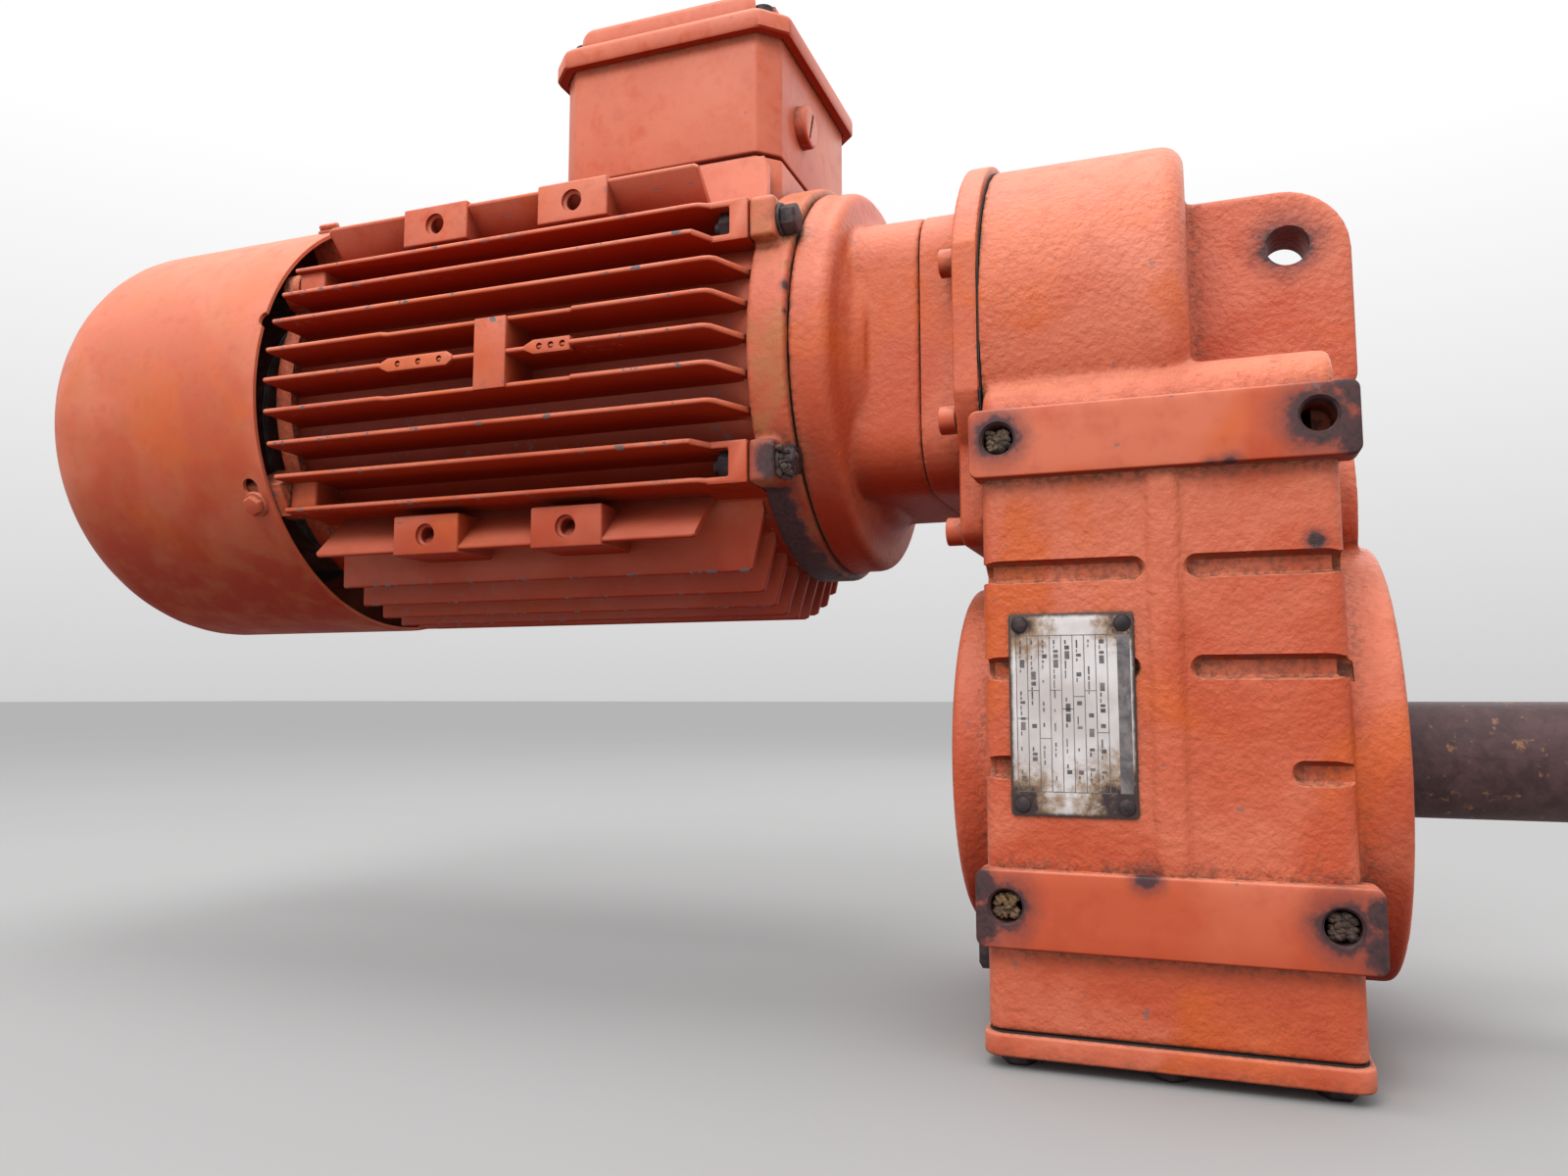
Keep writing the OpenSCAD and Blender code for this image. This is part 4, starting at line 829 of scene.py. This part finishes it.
def shield_bolts():
    """Hexagon bolts with washers at the drive end and sunk cap screws at the other."""
    parts = []
    for n, where in enumerate(SHIELD_BOLTS):
        parts.append(edge_round(rod("x", where, 6.2, BOLT_SEAT + 0.05, BOLT_SEAT + 1.4, 32), 0.25, 2))
        parts.append(hex_head("x", where, 10, BOLT_SEAT + 1.4, BOLT_SEAT + 7, 12 + 23 * n))
        parts.append(rod("x", where, M6_SHANK, -223, BOLT_SEAT + 2, 24))
        parts.append(rod("x", where, 5, -424, -420, 32))
        parts.append(rod("x", where, M6_SHANK, -421, -405, 24))
    finish_piece(scratch(joined(parts)), "end_shield_bolts", bolt_metal, "shield_bolts")


# ---------------- motor frame


def reach(offset, radius):
    """How far out a chord at that offset meets a circle."""
    return math.sqrt(radius ** 2 - offset ** 2)


def fin(offset, tips, turn, foot=2.6):
    """A tapered cooling fin with a flared root and a round tip; tips holds its (x, reach) stations."""
    root = reach(offset, TUBE_R) - 1.5
    rings = []
    for x, tip in tips:
        high = max(tip - root, 1.5)
        k = min(1.0, high / 6)
        side = [(root - 4, foot + 0.4), (root + 0.07 * high, foot), (root + 0.16 * high, 1.65),
                (root + high - 0.9 * k, 1.12), (root + high - 0.25 * k, 0.75), (root + high, 0.3)]
        ring = [(u, v) for u, v in side] + [(u, -v) for u, v in reversed(side)]
        rings.append([(x, -u, MOTOR_Z + offset + v) for u, v in ring])
    return about_motor(stack(rings), turn)


def side_fin(level):
    """A fin beside the motor; level counts up from the middle one."""
    offset = FIN_PITCH * level
    out = reach(offset, FIN_R)
    if abs(level) > 2:
        tips = [(FRAME_X0, out), (-229, out), (-226.5, out - 0.5), (-221.5, TUBE_R + 1), (FRAME_X1, TUBE_R + 1)]
        return fin(offset, tips, 0)
    low = 1.4 if abs(level) < 2 else 0
    tips = [(FRAME_X0, out), (-358.5, out), (-356, out - low), (-272.6, out - low), (-271.2, out)]
    end = [(-219.5, out), (-217.3, out - 0.5), (-215.4, out - 2), (-208.6, reach(offset, TUBE_R) + 2.5)]
    return fin(offset, tips + end, 0)


def tab(x0, x1, pointed):
    """A flat on the middle fin with three small holes."""
    tail = [(x1, 0.9), (x1 - 2.5, 2.8)] if pointed else [(x1, 2.8)]
    top = [(x0, 0.9), (x0 + 4, 2.8), *reversed(tail)]
    outline = [(x, MOTOR_Z + z) for x, z in top] + [(x, MOTOR_Z - z) for x, z in reversed(top)]
    ob = scratch(edge_round(prism(outline, "y", -FIN_R + 0.8, -FIN_R + 4), 0.5, 2))
    at = [x0 + (x1 - x0) * t for t in ((0.26, 0.545, 0.83) if pointed else (0.34, 0.59, 0.84))]
    stations = [(-FIN_R - 1, 1.5), (-FIN_R + 0.9, 1.3), (-89, 1.3)]
    cut(ob, [drilled("y", (x, MOTOR_Z), stations, 20) for x in at])
    return taken(ob)


def pad(x, dz):
    """A square boss with a countersunk hole for a motor foot."""
    ob = scratch(edge_round(box((x - 15.7, -PAD_Y, MOTOR_Z + dz - 8.2), (x + 15.7, -50, MOTOR_Z + dz + 8.2)), 0.9))
    stations = [(-PAD_Y - 0.5, 4.6), (-PAD_Y + 1.3, 4.4), (-PAD_Y + 2, 3.3), (-PAD_Y + 17, 3.3)]
    cut(ob, [drilled("y", (x, MOTOR_Z + dz), stations)])
    return taken(ob)


def corner_lug(dz):
    """The forked lug at the drive end that holds a bolt and its nut."""
    x0, slot_x, x1, z = -224.5, -215.4, FRAME_X1, MOTOR_Z + dz
    outline = [(x0, z - 8), (x1, z - 8), (x1, z + 8), (x0, z + 8),
               (x0, z + 5.2), (slot_x, z + 5.2), (slot_x, z - 5.2), (x0, z - 5.2)]
    ob = scratch(edge_round(prism(outline, "y", -79.6, -58), 0.8, 2))
    cut(ob, [rod("x", (-CORNER_Y, z), M6_HOLE, x0 - 2, x1 + 2, 24)])
    return taken(ob)


def rear_lug(dz):
    return edge_round(box((FRAME_X0, -80, MOTOR_Z + dz - 8), (FRAME_X0 + 13.5, -58, MOTOR_Z + dz + 8)), 1.2)


def motor_frame():
    wall = [(BORE_R, FRAME_X0), (TUBE_R, FRAME_X0), (TUBE_R, FRAME_X1), (BORE_R, FRAME_X1)]
    tube = lathe(wall, z=MOTOR_Z, steps=160)
    front = [side_fin(i) for i in range(-4, 5)]
    for turn in (RIB_TURN, -RIB_TURN):
        front.append(fin(0, [(-405, RIB_R - 0.9), (-403.5, RIB_R), (-231.5, RIB_R), (-230, RIB_R - 0.9)], turn, 2.4))
    front += [pad(x, s * PAD_DZ) for x in PAD_X for s in (-1, 1)]
    front += [f(s * CORNER_DZ) for f in (corner_lug, rear_lug) for s in (-1, 1)]
    front += [tab(-358, -323.8, True), tab(-291.4, -271.6, False)]
    front.append(edge_round(box((-313.9, -FIN_R + 1.0, MOTOR_Z - 14), (-299.8, -70, MOTOR_Z + 14)), 0.5, 2))
    back = [mirrored(part) for part in front]
    low, high = [], []
    under = BOX_Z0 - MOTOR_Z - 0.4
    for i in range(-4, 5):
        offset = FIN_PITCH * i
        out = reach(offset, FIN_R)
        tips = [(FRAME_X0 + 6, out), (-218, out), (-216.2, out - 0.8), (-211.5, reach(offset, TUBE_R) + 2)]
        low.append(fin(offset, tips, 90))
        top = min(out, under)
        tips = [(FRAME_X0, out), (-311, out), (-309.8, top), (-212, top), (-210, top - 4)]
        high.append(fin(offset, tips, 270))
    base = prism(cut_rect(BOX_X0, BOX_X1, -BOX_Y, BOX_Y, 8), "z", MOTOR_Z + 50, BOX_Z0 - 1.1)
    step = prism(cut_rect(BOX_X - 48, BOX_X + 48, -48, 48, 7.2), "z", 200, BOX_Z0 - 0.1)
    pedestal = [edge_round(base, 0.9, 2), edge_round(step, 0.9, 2)]
    ob = add(scratch(tube), front + back + low + high + pedestal)
    cut(ob, [rod("x", AXIS_1, BORE_R, FRAME_X0 - 1, FRAME_X1 + 1, 160),
                 rod("z", (BOX_X, 0), 16, MOTOR_Z + 60, BOX_Z0 + 5)])
    finish_piece(ob, "finned_frame", frame_paint, "motor_frame", 35)


# ---------------- fan cover


def fan_cover():
    sheet, flat, dome_x = 1.8, 30, -525

    def dome(inset):
        """The quarter turn from the side wall to the flat end."""
        wide, deep = COWL_R - inset - flat, dome_x - COWL_X0 - inset
        return [(flat + wide * math.cos(a), dome_x - deep * math.sin(a)) for a in turns(6, 16)]

    outside = [(COWL_R - 0.3, COWL_X1), (COWL_R, COWL_X1 - 0.4)] + dome(0) + [(0, COWL_X0)]
    inside = [(0, COWL_X0 + sheet)] + dome(sheet)[::-1] + [(COWL_R - sheet, COWL_X1)]
    ob = scratch(lathe(outside + inside, z=MOTOR_Z, steps=192))
    cuts = [rod("x", AXIS_1, 4, COWL_X0 - 1, COWL_X0 + 3, 20)]
    for ring, count in ((12, 8), (20, 14), (28, 20), (37, 26), (46, 32)):
        for i in range(count):
            a = 2 * math.pi * i / count
            where = (ring * math.sin(a), MOTOR_Z + ring * math.cos(a))
            cuts.append(rod("x", where, 2.6, COWL_X0 - 1, COWL_X0 + 12, 16))
    for turn in COWL_SCREW_TURNS:
        slot = drilled("y", (COWL_SCREW_X, MOTOR_Z), [(-COWL_R - 2, 2.9), (-COWL_R + 5, 2.9)], 24)
        wide = drilled("y", (COWL_SCREW_X - 0.5, MOTOR_Z), [(-COWL_R - 2, 3.9), (-COWL_R + 5, 3.9)], 24)
        cuts += [about_motor(slot, turn), about_motor(wide, turn - 4.3)]
    notch = drilled("y", (COWL_X1 + 1, MOTOR_Z), [(-COWL_R - 3, 3.4), (-COWL_R + 8, 3.4)], 24)
    cuts += [about_motor(notch, -16.5)]
    cut(ob, cuts)
    finish_piece(ob, "fan_cowl", cowl_paint, "fan_cover", 30)


def fan_cover_screws():
    parts = []
    where = (COWL_SCREW_X, MOTOR_Z)
    for n, turn in enumerate(COWL_SCREW_TURNS):
        seat = [(-COWL_R - 1.1, 5.4), (-COWL_R + 0.3, 5.6), (-COWL_R + 0.4, 3.0), (-89.5, 2.4)]
        parts.append(about_motor(edge_round(drilled("y", where, seat, 28), 0.2, 2), turn))
        parts.append(about_motor(hex_head("y", where, 8, -COWL_R - 1.0, -COWL_R - 3.6, 20 + 31 * n), turn))
    finish_piece(scratch(joined(parts)), "fan_cowl_screws", chipped_paint, "fan_cover_screws")


# ---------------- terminal box


def terminal_box():
    ob = scratch(edge_round(prism(cut_rect(BOX_X0, BOX_X1, -BOX_Y, BOX_Y, 8), "z", BOX_Z0 + 0.1, BOX_Z1), 1.1))
    room = prism(cut_rect(BOX_X0 + 4, BOX_X1 - 4, -BOX_Y + 4, BOX_Y - 4, 7), "z", BOX_Z0 + 4, BOX_Z1 + 4)
    holes = [rod("x", (PLUG_Y, PLUG_Z), 6.9, BOX_X1 - 8, BOX_X1 + 2),
             rod("x", (-PLUG_Y, PLUG_Z), 6.9, BOX_X0 - 2, BOX_X0 + 8)]
    cut(ob, [room, rod("z", (BOX_X, 0), 16, BOX_Z0 - 2, BOX_Z0 + 8), *holes])
    posts = [rod("z", where, 5.5, BOX_Z0 + 3, BOX_Z1, 32) for where in LID_SCREWS]
    add(ob, posts)
    finish_piece(ob, "terminal_box_walls", box_paint, "terminal_box")


def terminal_lid():
    """An overhanging lid with a round-edged raised top."""
    edge = [(0.5, LID_Z0), (0.0, LID_Z0 + 0.7), (0.0, LID_Z0 + 6.4), (0.45, LID_Z0 + 7.9), (1.3, LID_Z0 + 8.7),
            (2.4, LID_Z0 + 9)]
    raised = [(0.3, LID_Z0 + 8), (0.0, LID_Z0 + 9.6), (0.3, LID_Z0 + 16), (0.9, LID_Z0 + 17.6), (2.0, LID_Z0 + 18.6),
              (3.8, LID_Z1)]
    layers = []
    for profile, dx, dy, corner in ((edge, 0, 0, 10), (raised, 8, 4, 9)):
        rings = []
        for inset, z in profile:
            x, y = dx + inset, dy + inset
            outline = cut_rect(LID_X0 + x, LID_X1 - x, -LID_Y + y, LID_Y - y, corner + 0.2 * inset)
            rings.append([place(p, z, "z") for p in outline])
        layer = stack(rings)
        corners = [e for e in layer.edges
                   if abs((e.verts[0].co - e.verts[1].co).normalized().z) > 0.3 and e.calc_face_angle(0) > 0.5]
        bmesh.ops.bevel(layer, geom=corners, offset=1.8, segments=3, profile=0.5, affect="EDGES", clamp_overlap=True)
        layers.append(layer)
    seats = [rod("z", where, 5.6, LID_Z0 + 6, BOX_Z1 + 9, 40) for where in LID_SCREWS]
    ob = add(scratch(layers[0]), [layers[1], *seats])
    room = prism(cut_rect(BOX_X0 - 0.6, BOX_X1 + 0.6, -BOX_Y - 0.6, BOX_Y + 0.6, 8.2), "z", LID_Z0 - 2, BOX_Z1 + 1)
    hollow = prism(rounded_rect(BOX_X0 + 17, BOX_X1 - 17, -BOX_Y + 5, BOX_Y - 5, 6), "z", BOX_Z1 - 1, BOX_Z1 + 13)
    stations = [(LID_Z1 + 1, 5.4), (BOX_Z1 + 9, 5.4), (BOX_Z1 + 8.9, 2.8), (LID_Z0 - 4, 2.8)]
    cut(ob, [room, hollow] + [drilled("z", where, stations) for where in LID_SCREWS])
    finish_piece(ob, "terminal_box_cover", box_paint, "terminal_box_lid")


def blanking_plugs():
    parts = []
    for way, x, y in ((1, BOX_X1, PLUG_Y), (-1, BOX_X0, -PLUG_Y)):
        arc = [(0.02, 8.8), (3.4, 8.8), (4.3, 8.3), (4.7, 7.4)]
        head = scratch(drilled("x", (y, PLUG_Z), [(x + way * d, r) for d, r in arc], 56))
        slot = box((x + way * 4.2 - 0.9, y - 6.5, PLUG_Z - 0.9), (x + way * 4.2 + 0.9, y + 6.5, PLUG_Z + 0.9))
        spin = Matrix.Translation((0, y, PLUG_Z)) @ Matrix.Rotation(math.radians(70), 4, "X")
        cut(head, [moved(slot, spin @ Matrix.Translation((0, -y, -PLUG_Z)))])
        parts += [taken(head), rod("x", (y, PLUG_Z), 6.8, x - way * 6, x + way * 1)]
    finish_piece(scratch(joined(parts)), "box_blanking_plugs", chipped_paint, "conduit_plugs")


# ---------------- nameplate


def nameplate():
    outline = rounded_rect(PLATE_X0, PLATE_X1, PLATE_Z0, PLATE_Z1, 1.2, 4)
    ob = scratch(edge_round(prism(outline, "y", PLATE_Y, -BODY_Y - 0.02), 0.15, 2))
    cut(ob, [rod("y", p, 1.6, PLATE_Y - 1, -BODY_Y + 1, 20) for p in RIVETS])
    finish_piece(ob, "nameplate_sheet", plate_metal, "nameplate")


def plate_marks():
    """Ruled columns, a dark band and generic bars in place of lettering, a hair above the plate."""
    wide, tall = PLATE_X1 - PLATE_X0, PLATE_Z1 - PLATE_Z0
    top, bottom = PLATE_Z1 - 0.11 * tall, PLATE_Z0 + 0.12 * tall
    parts = []

    def ink(x0, x1, z0, z1):
        parts.append(box((x0, PLATE_Y - 0.04, z0), (x1, PLATE_Y + 0.1, z1)))

    columns = [PLATE_X0 + wide * (0.06 + 0.091 * i) for i in range(9)]
    for x in columns:
        ink(x - 0.12, x + 0.12, bottom, top)
    for z in (bottom, top):
        ink(columns[0], columns[-1] + 2, z - 0.12, z + 0.12)
    ink(PLATE_X0 + 0.865 * wide, PLATE_X0 + 0.965 * wide, bottom, top)
    dice = random.Random(4)
    for x in columns[:-1]:
        z = top - 1.5
        while z > bottom + 4:
            length = dice.choice((0.9, 1.3, 1.3, 2.6))
            ink(x + 1.1, x + 1.1 + dice.choice((0.35, 0.5, 1.5)), z - length, z)
            z -= length + dice.choice((0.45, 0.45, 0.6, 3.5, 6.0))
        z = bottom + (top - bottom) * dice.uniform(0.3, 0.7)
        ink(x, x + 0.091 * wide, z - 0.12, z + 0.12)
    finish_piece(scratch(joined(parts)), "nameplate_marks", ink_black, smooth_angle=0)


def rivets():
    """Domed heads on short shanks."""
    stations = [(-BODY_Y + 4, 1.5), (PLATE_Y + 0.02, 1.5), (PLATE_Y + 0.01, 2.7)]
    stations += [(PLATE_Y - 1.15 * math.sin(a), max(2.7 * math.cos(a), 0.25)) for a in turns(15, 7)[1:]]
    parts = [drilled("y", where, stations, 28) for where in RIVETS]
    finish_piece(scratch(joined(parts)), "nameplate_rivet_heads", bolt_metal, "nameplate_rivets")


# ---------------- output shaft


def output_shaft():
    profile = [(5, -128), (19.5, -128), (19.5, 5), (20, 5.4), (20, 84), (19.6, 84.6), (18.2, 86), (0.8, 86), (0, 84.4),
               (0, -100), (5, -100)]
    ob = scratch(lathe(profile, steps=128))
    way = prism(rounded_rect(18, 68, -6, 6, 5.9, 10), "y", 15, 24)
    inner = box((-112, -6, 14.5), (-22, 6, 24))
    cut(ob, [way, inner])
    finish_piece(ob, "output_shaft_bar", rusted_shaft, "output_shaft", 30, "output")


# ---------------- dirt with a shape of its own


def crumbs(name, centre, spread, count, size, material, seed):
    """Small rough lumps strewn within spread of a centre, each about size millimetres in radius."""
    dice = random.Random(seed)
    parts = []
    for _ in range(count):
        bm = bmesh.new()
        bmesh.ops.create_icosphere(bm, subdivisions=2, radius=1)
        grow = size * dice.uniform(0.6, 1.25)
        for v in bm.verts:
            v.co *= dice.uniform(0.8, 1.15)
        turn = Matrix.Rotation(dice.uniform(0, 6), 4, Vector((dice.random(), dice.random(), 1)).normalized())
        spot = Vector(centre) + Vector(dice.uniform(-1, 1) * s for s in spread)
        parts.append(moved(bm, Matrix.Translation(spot) @ turn @ Matrix.Diagonal((grow, grow, grow * 0.7, 1))))
    finish_piece(scratch(joined(parts)), name, material, smooth_angle=0)


# ---------------- camera, light and floor


def camera():
    """The photograph's viewpoint, low and a little right of the gear unit, with a wide lens."""
    spot = Vector((-58.7, -446.2, 21.4)) * MM
    yaw, pitch = math.radians(20.2), math.radians(5.6)
    ahead = Vector((-math.sin(yaw) * math.cos(pitch), math.cos(yaw) * math.cos(pitch), math.sin(pitch)))
    data = bpy.data.cameras.new("camera")
    sensor, focal_pixels, image_width = 36, 1140.9, 1600
    data.sensor_width, data.lens = sensor, sensor * focal_pixels / image_width
    data.clip_start, data.clip_end = 0.01, 50
    ob = bpy.data.objects.new("camera", data)
    ob.location = spot
    ob.rotation_euler = ahead.to_track_quat("-Z", "Y").to_euler()
    bpy.context.scene.collection.objects.link(ob)
    bpy.context.scene.camera = ob


def lamp(name, spot, aim, size, power):
    data = bpy.data.lights.new(name, "AREA")
    data.shape, data.size, data.energy = "DISK", size, power
    ob = bpy.data.objects.new(name, data)
    ob.location = spot
    ob.rotation_euler = (Vector(aim) - Vector(spot)).to_track_quat("-Z", "Y").to_euler()
    bpy.context.scene.collection.objects.link(ob)


def studio():
    world = bpy.data.worlds.new("world")
    world.use_nodes = True
    tree = world.node_tree
    tree.nodes["Background"].inputs["Color"].default_value = (1.0, 1.0, 1.0, 1.0)
    up = tree.nodes.new("ShaderNodeSeparateXYZ")
    tree.links.new(tree.nodes.new("ShaderNodeTexCoord").outputs["Generated"], up.inputs[0])
    sky = tree.nodes.new("ShaderNodeMapRange")
    sky.inputs["From Min"].default_value, sky.inputs["From Max"].default_value = -0.1, 1.0
    sky.inputs["To Min"].default_value, sky.inputs["To Max"].default_value = 0.55, 1.5
    tree.links.new(up.outputs[2], sky.inputs["Value"])
    tree.links.new(sky.outputs[0], tree.nodes["Background"].inputs["Strength"])
    bpy.context.scene.world = world
    middle = (-0.25, 0.0, 0.1)
    lamp("key", (-0.35, -1.2, 1.25), middle, 0.8, 13)
    lamp("top", (-0.3, -0.1, 1.9), middle, 1.0, 13)
    lamp("back", (0.4, 1.5, 0.9), middle, 1.0, 5)
    floor = scratch(box((-30000, -30000, -20), (30000, 30000, 0)), "floor")
    floor.data.transform(Matrix.Scale(MM, 4))
    floor.location.z = cad_box[0].z
    p = Paint("floor_white")
    p.colour = p.mix(p.noise(400, 2.0), (0.32, 0.32, 0.32), (0.34, 0.34, 0.34))
    p.set(0.9)
    floor.data.materials.append(p.material)
    bpy.context.scene.view_settings.view_transform = "Standard"


for make in (camera, studio, gear_housing, bottom_cover, bottom_screws, input_cover, cover_screws, adapter,
             drive_end_shield, shield_bolts, motor_frame, fan_cover, fan_cover_screws, terminal_box, terminal_lid,
             blanking_plugs, nameplate, plate_marks, rivets, output_shaft):
    make()
HOLES = [(x, -STRAP_Y + 3.2, z) for x, z in STRAP_HOLES]
crumbs("hole_packing_ochre", HOLES[2], (3.3, 0.6, 3.3), 60, 1.25, hole_rust, 1)
crumbs("hole_packing_brown", HOLES[0], (3.3, 0.6, 3.3), 60, 1.3, brown_dirt, 2)
crumbs("hole_packing_dark", HOLES[3], (3.3, 0.6, 3.3), 60, 1.3, nut_rust, 3)
BOLT = (BOLT_SEAT + 3.5, -CORNER_Y - 2, MOTOR_Z - CORNER_DZ)
crumbs("bolt_scale", BOLT, (3.2, 4.2, 5.2), 46, 1.5, nut_rust, 5)

# Every CAD node that still shows gets a finished material
NODE_LOOKS = {
    "orange_cast_paint": casting, "orange_sheet_paint": sheet_paint, "rusted_steel": rusted_shaft,
    "black_bolts": bolt_metal, "gear_steel": steel_metal, "bearing_steel": steel_metal,
    "laminations": stack_metal, "copper_winding": copper_wire, "black_rubber": black_gum, "fan_plastic": fan_mould,
    "brake_lining": lining_fibre, "board_plastic": board_mould, "brass_studs": brass_bar,
    "nameplate_metal": plate_metal,
}
for node_name, node_object in cad.items():
    node_object.data.materials.clear()
    node_object.data.materials.append(NODE_LOOKS[SLOTS[node_name]])
